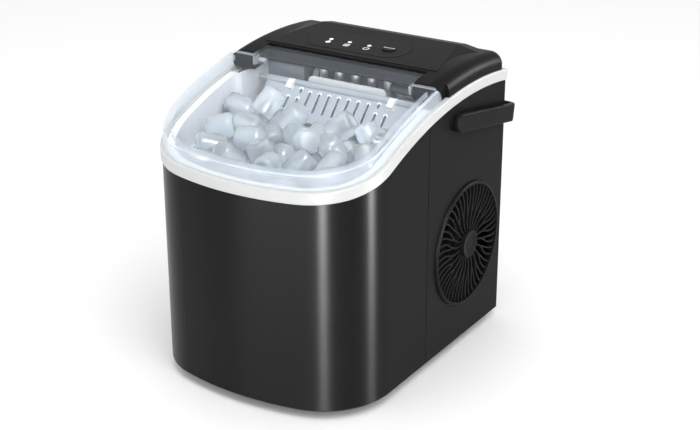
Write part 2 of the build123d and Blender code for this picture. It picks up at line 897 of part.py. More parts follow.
def fan_grille():
    # S-shaped ribs run from a hub cap to the ring, and a shorter rib branches off each of them
    inner = grille_hub_radius - 1
    outer = grille_radius - grille_ring + 1
    middle = (inner + outer) / 2
    quarter = (inner + middle) / 2
    three_quarter = (middle + outer) / 2
    long_rib = [
        ThreePointArc((inner, 0), (quarter, grille_rib_swing), (middle, 0)),
        ThreePointArc((middle, 0), (three_quarter, -grille_rib_swing), (outer, 0)),
    ]
    half_step = pi / grille_rib_count

    def turned(radius, share):
        return (radius * cos(share * half_step), radius * sin(share * half_step))

    fork = middle - grille_fork
    fork_side = grille_rib_swing * (1 - ((fork - quarter) / (middle - quarter)) ** 2)
    branch = Spline((fork, fork_side), turned(middle + 4, 0.6), turned(three_quarter, 0.58), turned(outer, 1))
    rib = trace(long_rib, line_width=grille_rib_width)
    rib += trace(branch, line_width=grille_rib_width)
    flat = Circle(outer) - Circle(outer - 1)
    flat += Circle(grille_hub_radius)
    flat += [Rot(0, 0, 360 * turn / grille_rib_count) * rib for turn in range(grille_rib_count)]
    # The rounded ring stands proud of the wall and the flange sits behind it
    face = half_width + grille_proud
    seat = half_width - shell_wall
    rear = seat - grille_flange_thickness
    ring = rod_x(grille_radius, rear, face, fan_depth, fan_height)
    ring = fillet(ring.edges().group_by(Axis.X)[-1], grille_round)
    flange = rod_x(grille_radius + grille_flange, rear, seat, fan_depth, fan_height)
    hollow = rod_x(grille_radius - grille_ring, rear - 1, face + 1, fan_depth, fan_height)
    back = face - grille_step - grille_thickness
    screen_plane = Plane((back, fan_depth, fan_height), (0, 1, 0), (1, 0, 0))
    screen = screen_plane * extrude(flat, amount=grille_thickness)
    hub = rod_x(grille_hub_radius, back, face + grille_cap, fan_depth, fan_height)
    dish_plane = Plane((face + grille_cap, fan_depth, fan_height), (0, 1, 0), (1, 0, 0))
    dish = dish_plane * Cone(
        grille_hub_radius / 2, grille_hub_radius - 1, grille_dish,
        align=(Align.CENTER, Align.CENTER, Align.MAX),
    )
    return joined([(ring + flange) - hollow, screen, hub]) - dish


rotor_front = half_width - rotor_gap
rotor_back = rotor_front - rotor_height
motor_front_face = rotor_back - fan_motor_gap
motor_back_face = motor_front_face - fan_motor_length
condenser_right = motor_back_face - condenser_gap
condenser_middle = condenser_right - condenser_width / 2
discharge_across = condenser_middle - discharge_step
drier_across = discharge_across - drier_step


def fan_rotor():
    hub = rod_x(rotor_hub_radius, rotor_back, rotor_front, fan_depth, fan_height)
    cup = rod_x(
        rotor_hub_radius - blade_thickness, rotor_back - 1, rotor_front - 3 * blade_thickness,
        fan_depth, fan_height,
    )
    sleeve = rod_x(3 * fan_shaft_radius, rotor_back, rotor_front, fan_depth, fan_height)
    length = rotor_radius - rotor_hub_radius + 1
    blade = Pos(0, rotor_hub_radius - 1 + length / 2, 0) * Rot(0, blade_pitch, 0) * Box(
        blade_thickness, length, 2 * rotor_height
    )
    middle = (rotor_front + rotor_back) / 2
    ring = rod_x(rotor_radius, rotor_back, rotor_front, fan_depth, fan_height)
    ring -= rod_x(rotor_hub_radius - 1, rotor_back, rotor_front, fan_depth, fan_height)
    blades = [
        Pos(middle, fan_depth, fan_height) * Rot(360 * turn / blade_count, 0, 0) * blade
        for turn in range(blade_count)
    ]
    blades = [blade & ring for blade in blades]
    rotor = joined([hub - cup, sleeve] + blades)
    return rotor - rod_x(
        fan_shaft_radius + tight_fit, rotor_back - 1, rotor_front - blade_thickness, fan_depth, fan_height
    )


def fan_shaft():
    return rod_x(
        fan_shaft_radius, motor_back_face + fan_motor_length / 3, rotor_front - 2 * blade_thickness,
        fan_depth, fan_height,
    )


def fan_motor():
    body = rod_x(fan_motor_radius, motor_back_face, motor_front_face, fan_depth, fan_height)
    body = fillet(body.edges().sort_by(Axis.X)[0], 3)
    return body - rod_x(
        fan_shaft_radius + close_fit, motor_back_face + fan_motor_length / 4, motor_front_face + 1,
        fan_depth, fan_height,
    )


def fan_bracket():
    right = motor_front_face - fan_motor_length / 4
    left = right - bracket_thickness
    half = bracket_side / 2
    plate = block(left, right, fan_depth - half, fan_depth + half, base_top, fan_height + half)
    plate -= rod_x(half - bracket_rim, left - 1, right + 1, fan_depth, fan_height)
    collar = rod_x(fan_motor_radius + bracket_collar, left, right, fan_depth, fan_height)
    reach = half - 1
    arm = Pos(left, 0, 0) * Box(
        bracket_thickness, 2 * reach, bracket_arm, align=(Align.MIN, Align.CENTER, Align.CENTER)
    )
    arms = [Pos(0, fan_depth, fan_height) * Rot(angle, 0, 0) * arm for angle in (0, 90)]
    frame = joined([plate, collar] + arms)
    return frame - rod_x(fan_motor_radius + tight_fit, left - 1, right + 1, fan_depth, fan_height)


def swept_tube(points, radius, bend):
    path = FilletPolyline(*points, radius=bend)
    start = Plane(path @ 0, z_dir=path % 0)
    return sweep(start * Circle(radius), path=path)


def coil_low():
    return base_top + condenser_foot


def coil_high():
    return coil_low() + (condenser_rows - 1) * condenser_pitch


coil_front = fan_depth - condenser_run / 2
coil_rear = fan_depth + condenser_run / 2
coil_end = coil_rear + condenser_pitch / 2


def condenser_coil():
    turn = condenser_pitch / 2
    pieces = []
    for row in range(condenser_rows):
        height = coil_low() + row * condenser_pitch
        front = coil_front
        rear = coil_end if row in (0, condenser_rows - 1) else coil_rear
        pieces.append(Line((condenser_middle, front, height), (condenser_middle, rear, height)))
        if row == condenser_rows - 1:
            continue
        side = coil_front if row % 2 == 0 else coil_rear
        bulge = side - turn if row % 2 == 0 else side + turn
        pieces.append(ThreePointArc(
            (condenser_middle, side, height), (condenser_middle, bulge, height + turn),
            (condenser_middle, side, height + condenser_pitch),
        ))
    path = Wire(pieces)
    start = Plane(path @ 0, z_dir=path % 0)
    return sweep(start * Circle(coil_radius), path=path)


def condenser_fins():
    low = coil_low() - condenser_pitch / 2
    high = coil_high() + condenser_pitch / 2
    left = condenser_middle - condenser_width / 2
    first = coil_front + fin_margin - condenser_pitch / 2
    step = (coil_rear - coil_front - 2 * fin_margin + condenser_pitch) / (fin_count - 1)
    fins = []
    for count in range(fin_count):
        end = count in (0, fin_count - 1)
        middle = first + count * step
        half = fin_thickness if end else fin_thickness / 2
        fin = block(left, condenser_right, middle - half, middle + half, base_top if end else low, high)
        for row in range(condenser_rows):
            height = coil_low() + row * condenser_pitch
            fin -= rod_y(coil_radius + tight_fit, condenser_middle, height, middle - 2, middle + 2)
        fins.append(fin)
    return fins


compressor_foot = base_top + grommet_height
compressor_bottom = compressor_foot + compressor_foot_thickness
compressor_top = compressor_bottom + compressor_height


def compressor():
    # Two domed cups welded at a raised seam, standing on a square foot plate
    radius = compressor_radius
    waist = compressor_bottom + seam_rise
    crown = radius * 0.45
    outline = [
        Line((0, compressor_bottom), (radius - 8, compressor_bottom)),
        ThreePointArc(
            (radius - 8, compressor_bottom), (radius - 2.3, compressor_bottom + 2.3),
            (radius, compressor_bottom + 8),
        ),
        Line((radius, compressor_bottom + 8), (radius, waist)),
        Line((radius, waist), (radius + compressor_seam, waist)),
        Line((radius + compressor_seam, waist), (radius + compressor_seam, waist + compressor_seam)),
        Line((radius + compressor_seam, waist + compressor_seam), (radius, waist + compressor_seam)),
        Line((radius, waist + compressor_seam), (radius, compressor_top - compressor_dome)),
        ThreePointArc(
            (radius, compressor_top - compressor_dome),
            (radius - 6.2, compressor_top - compressor_dome * 0.36), (crown, compressor_top),
        ),
        Line((crown, compressor_top), (0, compressor_top)),
        Line((0, compressor_top), (0, compressor_bottom)),
    ]
    body = revolve(Plane.XZ * make_face(outline), axis=Axis.Z)
    half = compressor_foot_side / 2
    foot = block(-half, half, -half, half, compressor_foot, compressor_bottom)
    foot = fillet(foot.edges().filter_by(Axis.Z), grommet_radius)
    for x, y in grommets():
        foot -= rod_z(grommet_radius / 2 + tight_fit, x, y, 0, compressor_bottom + 1)
    return Pos(compressor_across, compressor_depth, 0) * (body + foot)


def grommets():
    return [(x * grommet_places, y * grommet_places) for x in (-1, 1) for y in (-1, 1)]


def compressor_mounts():
    pad = rod_z(grommet_radius, 0, 0, base_top, compressor_foot)
    neck = rod_z(grommet_radius / 2, 0, 0, compressor_foot, compressor_bottom + grommet_cap)
    mount = pad + neck
    return [Pos(compressor_across + x, compressor_depth + y, 0) * mount for x, y in grommets()]


def terminal_cover():
    # Plastic cap over the compressor's electric terminals, on its front
    face = compressor_depth - compressor_radius
    top = compressor_bottom + seam_rise - terminal_gap
    cover = block(
        compressor_across - terminal_width / 2, compressor_across + terminal_width / 2,
        face - terminal_depth, compressor_depth, top - terminal_tall, top,
    )
    cover = fillet(cover.edges().filter_by(Axis.Y), 4)
    return cover - rod_z(
        compressor_radius + tight_fit, compressor_across, compressor_depth, 0, top_room
    )


def drier_ends():
    return (drier_foot, drier_foot + drier_length)


def filter_drier():
    low, high = drier_ends()
    radius = drier_radius
    outline = Polyline(
        (0, low), (line_radius + 1, low), (radius, low + radius), (radius, high - radius),
        (line_radius + 1, high), (0, high), close=True,
    )
    return Pos(drier_across, evaporator_rear, 0) * revolve(Plane.XZ * make_face(outline), axis=Axis.Z)


def discharge_points():
    side = compressor_across + compressor_radius
    rear = coil_end + discharge_back
    return [
        (side - 4, compressor_depth, discharge_height),
        (discharge_across, compressor_depth, discharge_height),
        (discharge_across, rear, discharge_height),
        (discharge_across, rear, coil_high()),
        (condenser_middle, rear, coil_high()),
        (condenser_middle, coil_end, coil_high()),
    ]


def discharge_tube():
    tube = swept_tube(discharge_points(), line_radius, line_bend)
    return tube - rod_z(
        compressor_radius, compressor_across, compressor_depth, compressor_bottom, compressor_top
    )


def hot_gas_valve():
    # Solenoid valve clamped round the upright run of the discharge tube
    rear = coil_end + discharge_back
    middle = (discharge_height + coil_high()) / 2
    half = valve_side / 2
    body = Pos(discharge_across, rear, middle) * Box(valve_side, valve_side, valve_side)
    coil = rod_x(half - 1, discharge_across - half - valve_coil, discharge_across - half, rear, middle)
    hole = rod_z(line_radius + tight_fit, discharge_across, rear, 0, top_room)
    return body + coil - hole


def condenser_tube():
    rear = coil_end + discharge_back
    points = [
        (condenser_middle, coil_end, coil_low()), (condenser_middle, rear, coil_low()),
        (drier_across, rear, coil_low()), (drier_across, evaporator_rear, coil_low()),
        (drier_across, evaporator_rear, drier_foot),
    ]
    return swept_tube(points, line_radius, line_bend)


def liquid_tube():
    high = drier_ends()[1]
    points = [
        (evaporator_left, evaporator_rear, evaporator_drop),
        (evaporator_left, evaporator_rear, evaporator_drop - liquid_fall),
        (drier_across, evaporator_rear, evaporator_drop - liquid_fall),
        (drier_across, evaporator_rear, high),
    ]
    return swept_tube(points, line_radius, line_bend)


def suction_tube():
    across = evaporator_left - suction_step
    low = compressor_top - compressor_dome
    tube = rod_z(line_radius, across, evaporator_rear, low, evaporator_drop)
    return tube - compressor()


tube_height = tray_height + finger_rise


def evaporator_tube():
    front = tray_depth - finger_row
    rear = tray_depth + finger_row
    far_left = evaporator_left - suction_step
    points = [
        (evaporator_left, evaporator_rear, evaporator_drop),
        (evaporator_left, evaporator_rear, tube_height),
        (evaporator_left, rear, tube_height),
        (tray_half + coil_radius, rear, tube_height),
        (tray_half + coil_radius, front, tube_height),
        (far_left, front, tube_height),
        (far_left, evaporator_rear, tube_height),
        (far_left, evaporator_rear, evaporator_drop),
    ]
    return swept_tube(points, coil_radius, finger_row - 0.1)


def freezing_fingers():
    low = tray_height - finger_bottom
    places = [((count - 2) * finger_pitch, -finger_row) for count in range(5)]
    places += [((count - 1.5) * finger_pitch, finger_row) for count in range(4)]
    finger = rod_z(finger_radius, 0, 0, low, tube_height)
    finger = fillet(finger.edges().sort_by(Axis.Z)[0], finger_radius * 0.8)
    finger -= rod_x(coil_radius + tight_fit, -2 * finger_radius, 2 * finger_radius, 0, tube_height)
    return [Pos(x, tray_depth + y, 0) * finger for x, y in places]


def evaporator_bracket():
    low = tube_height + coil_radius + slip
    high = low + hanger_thickness
    wall = chamber_half - liner_wall
    front = tray_depth + finger_row / 2
    rear = front + hanger_width
    bar = block(-chamber_half, chamber_half, front, rear, low, high)
    leg = block(wall, chamber_half, front, rear, chamber_top, high)
    return joined([bar] + both_sides(leg))


def liner_blank(gap):
    # The outside of the liner: ice bin, water tank below it and freezing chamber behind its top
    upper = prism(plan(bin_inset - gap, bin_rear + gap), bin_step - gap, top_room)
    upper &= under(ledge_height + flange_thickness)
    lower = prism(plan(tank_inset - gap, tank_rear + gap), liner_floor - gap, bin_step + liner_wall)
    chamber = block(
        -chamber_half - gap, chamber_half + gap, bin_rear - liner_wall, chamber_rear + gap,
        chamber_floor - gap, chamber_top,
    )
    return upper + lower + chamber


def drain_spout(radius, reach):
    wall = half_width - tank_inset - liner_wall
    return rod_x(radius, -half_width + shell_wall + reach, -wall - liner_wall / 2, drain_depth, drain_height)


def inner_liner():
    # The ice bin with the freezing chamber behind it, and the water tank below
    blank = liner_blank(0)
    flange = prism(plan(band_inset + slip, bin_rear), 0, top_room)
    flange &= under(ledge_height + flange_thickness) - under(ledge_height)
    spout = drain_spout(drain_radius + drain_spout_wall, close_fit)
    blank = blank + flange + spout
    blank -= prism(plan(bin_inset + liner_wall, bin_rear - liner_wall), bin_step + liner_wall, top_room)
    blank -= prism(plan(tank_inset + liner_wall, tank_rear - liner_wall), liner_floor + liner_wall, top_room)
    wall = chamber_half - liner_wall
    blank -= block(-wall, wall, tank_rear, chamber_rear - liner_wall, chamber_floor + liner_wall, top_room)
    blank -= rod_x(
        drain_radius + slip, -half_width, -half_width + tank_inset + liner_wall + 1, drain_depth, drain_height
    )
    blank -= rod_y(hose_radius + slip, pump_across, pump_outlet, tank_rear - liner_wall - 1, tank_rear + 1)
    blank -= rod_x(hose_radius + 4 * slip, wall - 1, chamber_half + 1, hose_entry_depth, hose_entry_height)
    pin_hole = rod_x(
        shovel_pin_radius + tight_fit, wall - 1, chamber_half + 1, shovel_depth, shovel_height
    )
    return blank - both_sides(pin_hole)


def bin_liner():
    return inner_liner() & block(-body_width, body_width, -overrun, body_depth, bin_step, top_room)


def water_tank():
    return inner_liner() & block(-body_width, body_width, -overrun, body_depth, 0, bin_step)


def foam_jacket():
    low = base_top + foot_cap + slip
    foam = prism(plan(shell_wall + slip, foam_rear), low, foam_top) - liner_blank(foam_gap)
    half = boss_side / 2 + slip
    for across, depth in boss_places():
        foam -= block(
            across - half, across + half, depth - half, depth + half, 0, base_top + boss_height + slip
        )
    foam -= drain_spout(drain_radius + drain_spout_wall + slip, -1)
    foam -= rod_x(grille_radius + grille_flange + slip, 0, half_width, fan_depth, fan_height)
    return foam - rod_y(hose_radius + slip, pump_across, pump_outlet, tank_rear - 2, foam_rear + 1)


def ice_basket():
    inset = bin_inset + liner_wall + basket_gap
    low = bin_step + liner_wall + slip
    basket = prism(plan(inset, basket_rear, basket_corner), low, basket_top)
    basket = fillet(basket.faces().sort_by(Axis.Z)[0].outer_wire().edges(), basket_wall / 2)
    basket -= prism(
        plan(inset + basket_wall, basket_rear - basket_wall, basket_corner - basket_wall),
        low + basket_wall, top_room,
    )
    first = inset + basket_slot_margin
    pitch = (basket_rear - basket_slot_margin - first) / (basket_slot_rows - 1)
    slot = extrude(SlotOverall(basket_slot_length, basket_slot_width), amount=basket_wall + 2)
    across = basket_slot_length / 2 + basket_slot_width
    for row in range(basket_slot_rows):
        for side in (-1, 1):
            basket -= Pos(side * across, first + row * pitch, low - 1) * slot
    return basket


def tray_bar(radius, x_low, x_high):
    return rod_x(radius, x_low, x_high, tray_depth, tray_height)


def water_tray():
    below = block(
        -tray_half, tray_half, tray_depth - 2 * tray_outer, tray_depth + 2 * tray_outer,
        tray_height - 2 * tray_outer, tray_height - tray_edge_drop,
    )
    trough = tray_bar(tray_outer, -tray_half, tray_half) & below
    trough -= tray_bar(tray_radius, -tray_half + tray_wall, tray_half - tray_wall)
    # Front lip with rounded upper corners
    edge = sqrt(tray_outer**2 - tray_lip_rise**2)
    lip_low = tray_height - tray_edge_drop - 3
    lip_tall = tray_lip_rise + tray_edge_drop + 3
    lip = make_face(Polyline(
        (-tray_lip_half, 0), (tray_lip_half, 0), (tray_lip_half, lip_tall), (-tray_lip_half, lip_tall),
        close=True,
    ))
    lip = fillet(lip.vertices().group_by(Axis.Y)[-1], tray_lip_rise - 1)
    lip_plane = Plane((0, tray_depth - edge, lip_low), (1, 0, 0), (0, -1, 0))
    lip = lip_plane * extrude(lip, amount=-tray_wall)
    hub = tray_bar(tray_hub_radius, tray_half - 2 * tray_wall, tray_half + tray_wall)
    web = block(
        tray_half - tray_wall, tray_half, tray_depth - tray_hub_radius, tray_depth + tray_hub_radius,
        tray_height - tray_edge_drop - 2, tray_height,
    )
    tray = joined([trough, lip] + both_sides(hub + web))
    left_bore = tray_bar(tray_shaft_radius + tight_fit, -tray_half - 2 * tray_wall, 0)
    right_bore = tray_bar(tray_shaft_radius + close_fit, 0, tray_half + 2 * tray_wall)
    return tray - left_bore - right_bore


def tray_shaft():
    return tray_bar(tray_shaft_radius, -motor_face - shaft_grip, -tray_half + 2 * tray_wall)


def tray_gear_motor():
    body = block(
        -chamber_half + liner_wall, -motor_face, tray_depth - motor_front, tray_depth + motor_rear,
        motor_foot, motor_top,
    )
    body = fillet(body.edges().filter_by(Axis.X), 3)
    return body - tray_bar(tray_shaft_radius + close_fit, -motor_face - shaft_grip - 1, 0)


def tray_bearing():
    wall = chamber_half - liner_wall
    plate = block(
        wall - bearing_plate, wall, tray_depth - bearing_half, tray_depth + bearing_half,
        tray_height - bearing_half, tray_height + tray_hub_radius,
    )
    post = tray_bar(tray_shaft_radius * 2, tray_half + tray_wall + slip, wall - bearing_plate)
    pin = tray_bar(tray_shaft_radius, tray_half - 2 * tray_wall, tray_half + tray_wall + 1)
    return plate + post + pin


def ice_shovel():
    # Sloping slotted plate below a round pivot bar, drawn upright and then leaned forward
    axis = Pos(0, shovel_depth, shovel_height)
    lean = Rot(-(90 - shovel_slope), 0, 0)
    outline = make_face(Polyline(
        (-shovel_half, 0), (shovel_half, 0), (shovel_half, -shovel_length), (-shovel_half, -shovel_length),
        close=True,
    ))
    outline = fillet(outline.vertices().group_by(Axis.Y)[0], 5)

    def slot(column, start, length):
        return Pos(column * slot_pitch, -start - length / 2) * Rot(0, 0, 90) * SlotOverall(length, slot_width)

    # Full slots across the middle, lower ones beside them, and a short notch over the first lower one
    last = (full_slots - 1) / 2
    outline -= [slot(count - last, slot_start, slot_length) for count in range(full_slots)]
    for side in (-1, 1):
        for count in range(low_slots):
            column = side * (last + 1 + count)
            outline -= slot(column, slot_start + slot_drop, slot_length - slot_drop)
        outline -= slot(side * (last + 1), notch_start, notch_length)
    upright = Plane((0, 0, 0), (1, 0, 0), (0, -1, 0))
    plate = upright * extrude(outline, amount=shovel_thickness / 2, both=True)
    tab = upright * Pos(0, -tab_side / 2 - 1, shovel_thickness / 2) * Box(
        tab_side, tab_side, tab_side / 2, align=(Align.CENTER, Align.CENTER, Align.MIN)
    )
    tabs = [Pos(side * tab_across, 0, 0) * tab for side in (-1, 1)]
    bar = rod_x(shovel_boss_radius, -shovel_half, shovel_half, 0, 0)
    shovel = axis * lean * joined([plate, bar] + tabs)
    bore = rod_x(
        shovel_pin_radius + close_fit, shovel_half - shovel_pin_grip - slip, shovel_half + 1,
        shovel_depth, shovel_height,
    )
    return shovel - both_sides(bore)


def shovel_pins():
    pin = rod_x(
        shovel_pin_radius, shovel_half - shovel_pin_grip, chamber_half, shovel_depth, shovel_height
    )
    head = rod_x(
        2 * shovel_pin_radius, chamber_half, chamber_half + 2, shovel_depth, shovel_height
    )
    return both_sides(pin + head)


tank_floor = liner_floor + liner_wall
pump_end = pump_depth + pump_radius + 4


def water_pump():
    body = rod_z(pump_radius, pump_across, pump_depth, tank_floor, tank_floor + pump_height)
    body = fillet(body.edges().sort_by(Axis.Z)[-1], 3)
    outlet = rod_y(hose_radius, pump_across, pump_outlet, pump_depth, pump_end)
    foot = block(
        pump_across - pump_radius - 3, pump_across + pump_radius + 3,
        pump_depth - 4, pump_depth + 4, tank_floor, tank_floor + 3,
    )
    return body + outlet + foot


def hose_points():
    return [
        (pump_across, pump_end, pump_outlet),
        (pump_across, hose_up_depth, pump_outlet),
        (hose_up_across, hose_up_depth, pump_outlet + hose_up_across - pump_across),
        (hose_up_across, hose_up_depth, hose_entry_height),
        (hose_up_across, hose_entry_depth, hose_entry_height),
        (hose_inside, hose_entry_depth, hose_entry_height),
        (hose_inside, hose_entry_depth, spout_height),
        (spout_across, spout_depth, spout_height),
    ]


def water_hose():
    return swept_tube(hose_points(), hose_radius, hose_bend)


def water_level_probe():
    half = probe_width / 2
    cap_top = tank_floor + half / 2
    cap = block(
        probe_across - half, probe_across + half, probe_depth - half / 2, probe_depth + half / 2,
        tank_floor, cap_top,
    )
    cap = fillet(cap.edges().filter_by(Axis.Z), half / 4)
    rod = rod_z(probe_rod_radius, 0, probe_depth, cap_top, tank_floor + probe_tall)
    rods = [Pos(probe_across + side * probe_spread, 0, 0) * rod for side in (-1, 1)]
    return joined([cap] + rods)


def ice_level_sensors():
    wall = half_width - bin_inset - liner_wall
    eye = block(
        wall - sensor_thick, wall, sensor_depth - sensor_long / 2, sensor_depth + sensor_long / 2,
        sensor_height - sensor_tall / 2, sensor_height + sensor_tall / 2,
    )
    eye = fillet(eye.edges().filter_by(Axis.X), 3)
    return both_sides(eye)


def drain_plug():
    inner = half_width - tank_inset - liner_wall
    shaft = rod_x(drain_radius, -half_width - slip, -inner, drain_depth, drain_height)
    head_right = -half_width - slip
    head = rod_x(drain_head_radius, head_right - drain_head_length, head_right, drain_depth, drain_height)
    head = fillet(head.edges().sort_by(Axis.X)[0], 1)
    head_left = head_right - drain_head_length
    grip = block(
        head_left - drain_grip, head_left, drain_depth - drain_radius, drain_depth + drain_radius,
        drain_height - drain_grip, drain_height + drain_grip,
    )
    return shaft + head + grip


def cord_gland():
    def ring(radius, y_low, y_high):
        return rod_y(radius, gland_across, gland_height, y_low, y_high)

    inner = body_depth - shell_wall
    bush = ring(gland_radius, inner - gland_lip, body_depth + gland_lip)
    inside = ring(gland_radius + gland_lip, inner - gland_lip, inner)
    outside = ring(gland_radius + gland_lip, body_depth, body_depth + gland_lip)
    outside = fillet(outside.edges().sort_by(Axis.Y)[-1], gland_lip / 3)
    bore = ring(gland_radius / 2, inner - 2 * gland_lip, body_depth + 2 * gland_lip)
    return bush + inside + outside - bore


def main():
    os.makedirs("parts", exist_ok=True)
    makers = [
        front_housing, rear_housing, base_plate, rubber_feet, base_screws, trim_frame,
        lid, lid_hinge_pins, top_cover, control_panel, indicator_lenses, power_button,
        button_switch, control_board, board_screws, handle, handle_pivots,
        fan_grille, fan_rotor, fan_shaft, fan_motor, fan_bracket,
        condenser_coil, condenser_fins, compressor, compressor_mounts, terminal_cover,
        filter_drier, discharge_tube, hot_gas_valve, condenser_tube, liquid_tube, suction_tube,
        evaporator_tube, freezing_fingers, evaporator_bracket,
        bin_liner, water_tank, foam_jacket, ice_basket, water_tray, tray_shaft, tray_gear_motor, tray_bearing,
        ice_shovel, shovel_pins, water_pump, water_hose, water_level_probe, ice_level_sensors,
        drain_plug, cord_gland,
    ]
    pieces = {maker.__name__: maker() for maker in makers}
    # The origin is on the table, below the middle of the whole outline
    front_end = pieces["trim_frame"].bounding_box().min.Y
    rear_end = pieces["handle"].bounding_box().max.Y
    centre = Pos(0, -(front_end + rear_end) / 2, 0)
    print("middle depth", round((front_end + rear_end) / 2, 4))
    for name, piece in pieces.items():
        solids = piece if isinstance(piece, list) else [piece]
        placed = [solid for shape in solids for solid in (centre * shape).solids()]
        export_step(Compound(children=placed), f"parts/{name}.step")


main()
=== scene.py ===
import bpy
import bmesh
import json
import math
import random
from mathutils import Euler, Matrix, Vector


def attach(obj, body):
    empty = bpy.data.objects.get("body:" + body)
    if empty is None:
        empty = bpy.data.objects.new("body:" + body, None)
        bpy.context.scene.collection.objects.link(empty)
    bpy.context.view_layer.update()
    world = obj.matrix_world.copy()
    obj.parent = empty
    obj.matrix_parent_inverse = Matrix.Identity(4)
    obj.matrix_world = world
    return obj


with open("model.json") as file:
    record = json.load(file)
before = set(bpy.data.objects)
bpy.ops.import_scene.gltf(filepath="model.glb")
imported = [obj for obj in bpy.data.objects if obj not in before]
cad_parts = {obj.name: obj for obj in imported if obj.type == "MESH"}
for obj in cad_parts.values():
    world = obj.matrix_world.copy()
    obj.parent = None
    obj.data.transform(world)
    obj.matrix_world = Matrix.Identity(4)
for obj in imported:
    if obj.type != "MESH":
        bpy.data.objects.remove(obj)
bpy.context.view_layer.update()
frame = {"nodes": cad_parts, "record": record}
print("frame loaded:", len(frame["nodes"]), "nodes")

mm = 0.001
midDepth = 147.9916  # depth behind the black front that lies over the origin, in mm


def rowPlace(across, depth, height):
    # mm measured from the front of the shell, as a place in the scene
    return Vector((across * mm, (depth - midDepth) * mm, height * mm))


# shader sums that read like plain arithmetic
class Wire:
    def __init__(self, tree, socket):
        self.tree = tree
        self.socket = socket

    def plug(self, value, socket):
        if isinstance(value, Wire):
            self.tree.links.new(value.socket, socket)
        else:
            socket.default_value = value

    def sums(self, operation, first, second):
        node = self.tree.nodes.new("ShaderNodeMath")
        node.operation = operation
        self.plug(first, node.inputs[0])
        self.plug(second, node.inputs[1])
        return Wire(self.tree, node.outputs[0])

    def __add__(self, other): return self.sums("ADD", self, other)
    def __radd__(self, other): return self.sums("ADD", other, self)
    def __sub__(self, other): return self.sums("SUBTRACT", self, other)
    def __rsub__(self, other): return self.sums("SUBTRACT", other, self)
    def __mul__(self, other): return self.sums("MULTIPLY", self, other)
    def __rmul__(self, other): return self.sums("MULTIPLY", other, self)
    def __truediv__(self, other): return self.sums("DIVIDE", self, other)
    def __rtruediv__(self, other): return self.sums("DIVIDE", other, self)
    def __pow__(self, other): return self.sums("POWER", self, other)
    def __rpow__(self, other): return self.sums("POWER", other, self)

    def node(self, kind, output, inputs, **settings):
        # any other node, fed by name or number
        made = self.tree.nodes.new(kind)
        for key, value in settings.items():
            setattr(made, key, value)
        for key, value in inputs.items():
            self.plug(value, made.inputs[key])
        return Wire(self.tree, made.outputs[output])


def startMaterial(name, colour, roughness, metallic=0.0, **fixed):
    material = bpy.data.materials.new(name)
    material.use_nodes = True
    tree = material.node_tree
    shader = tree.nodes["Principled BSDF"]
    shader.inputs["Base Color"].default_value = (*colour, 1)
    shader.inputs["Roughness"].default_value = roughness
    shader.inputs["Metallic"].default_value = metallic
    for key, value in fixed.items():
        shader.inputs[key].default_value = value
    places = tree.nodes.new("ShaderNodeTexCoord")
    return material, shader, Wire(tree, places.outputs["Object"])


def noise(places, scale, detail=3.0, roughness=0.55):
    return places.node(
        "ShaderNodeTexNoise", "Fac",
        {"Vector": places, "Scale": scale, "Detail": detail, "Roughness": roughness},
    )


def normalPart(places, axis):
    normal = Wire(places.tree, places.socket.node.outputs["Normal"])
    return normal.node("ShaderNodeSeparateXYZ", axis, {0: normal})


def blendColours(fac, first, second):
    return fac.node(
        "ShaderNodeMix", 2, {0: fac, 6: (*first, 1), 7: (*second, 1)}, data_type="RGBA"
    )


def bumps(height, strength, distance):
    return height.node(
        "ShaderNodeBump", "Normal", {"Height": height, "Strength": strength, "Distance": distance}
    )


def feed(shader, name, wire):
    wire.plug(wire, shader.inputs[name])


# one dictionary for each finish: roughness strays by "uneven", in patches set by "patch"
glossShell = {"colour": (0.006, 0.006, 0.0062), "roughness": 0.3, "uneven": 0.06, "patch": 22,
              "specular": 0.1, "stretch": 0.85, "stretchTurn": 0.25,
              "peel": 900, "peelStrength": 0.15, "peelDepth": 0.00002}
# paler, duller copy of the black gloss for the flat side walls: painted light, not a different plastic
paintedSideWall = {"colour": (0.016, 0.016, 0.0165), "roughness": 0.36, "specular": 0.01, "startsAt": 0.93,
            "fullAt": 0.995}
satinShell = {"colour": (0.0115, 0.0115, 0.0119), "roughness": 0.36, "uneven": 0.1, "patch": 30,
              "specular": 0.018, "grain": 2600, "grainStrength": 0.3, "grainDepth": 0.00004}
panelFilm = {"colour": (0.012, 0.012, 0.0125), "roughness": 0.3, "uneven": 0.06, "patch": 60,
             "specular": 0.016}
whiteMould = {"colour": (0.86, 0.89, 0.92), "roughness": 0.36, "uneven": 0.08, "patch": 25}
trimMould = {"colour": (0.61, 0.615, 0.615), "roughness": 0.4, "uneven": 0.08, "patch": 25, "specular": 0.2}
# the gear motor's mid grey is painted shade: its white plastic is darkened to stand in for the shade round
# it
motorPaintedShade = {"colour": (0.34, 0.37, 0.41), "roughness": 0.46, "uneven": 0.08, "patch": 40}
markInk = {"colour": (0.8, 0.81, 0.82), "roughness": 0.5, "uneven": 0.1, "patch": 300}
# the shovel plate's grey is painted shade; its stop tabs keep the plastic's own white
shovelPaintedShade = {"colour": (0.45, 0.5, 0.56), "roughness": 0.36, "uneven": 0.08, "patch": 25,
               "tab": (0.86, 0.88, 0.9), "tabAcross": 56, "tabHalf": 3.7, "tabReach": 9.5,
               "axisDepth": 176, "axisHeight": 247}
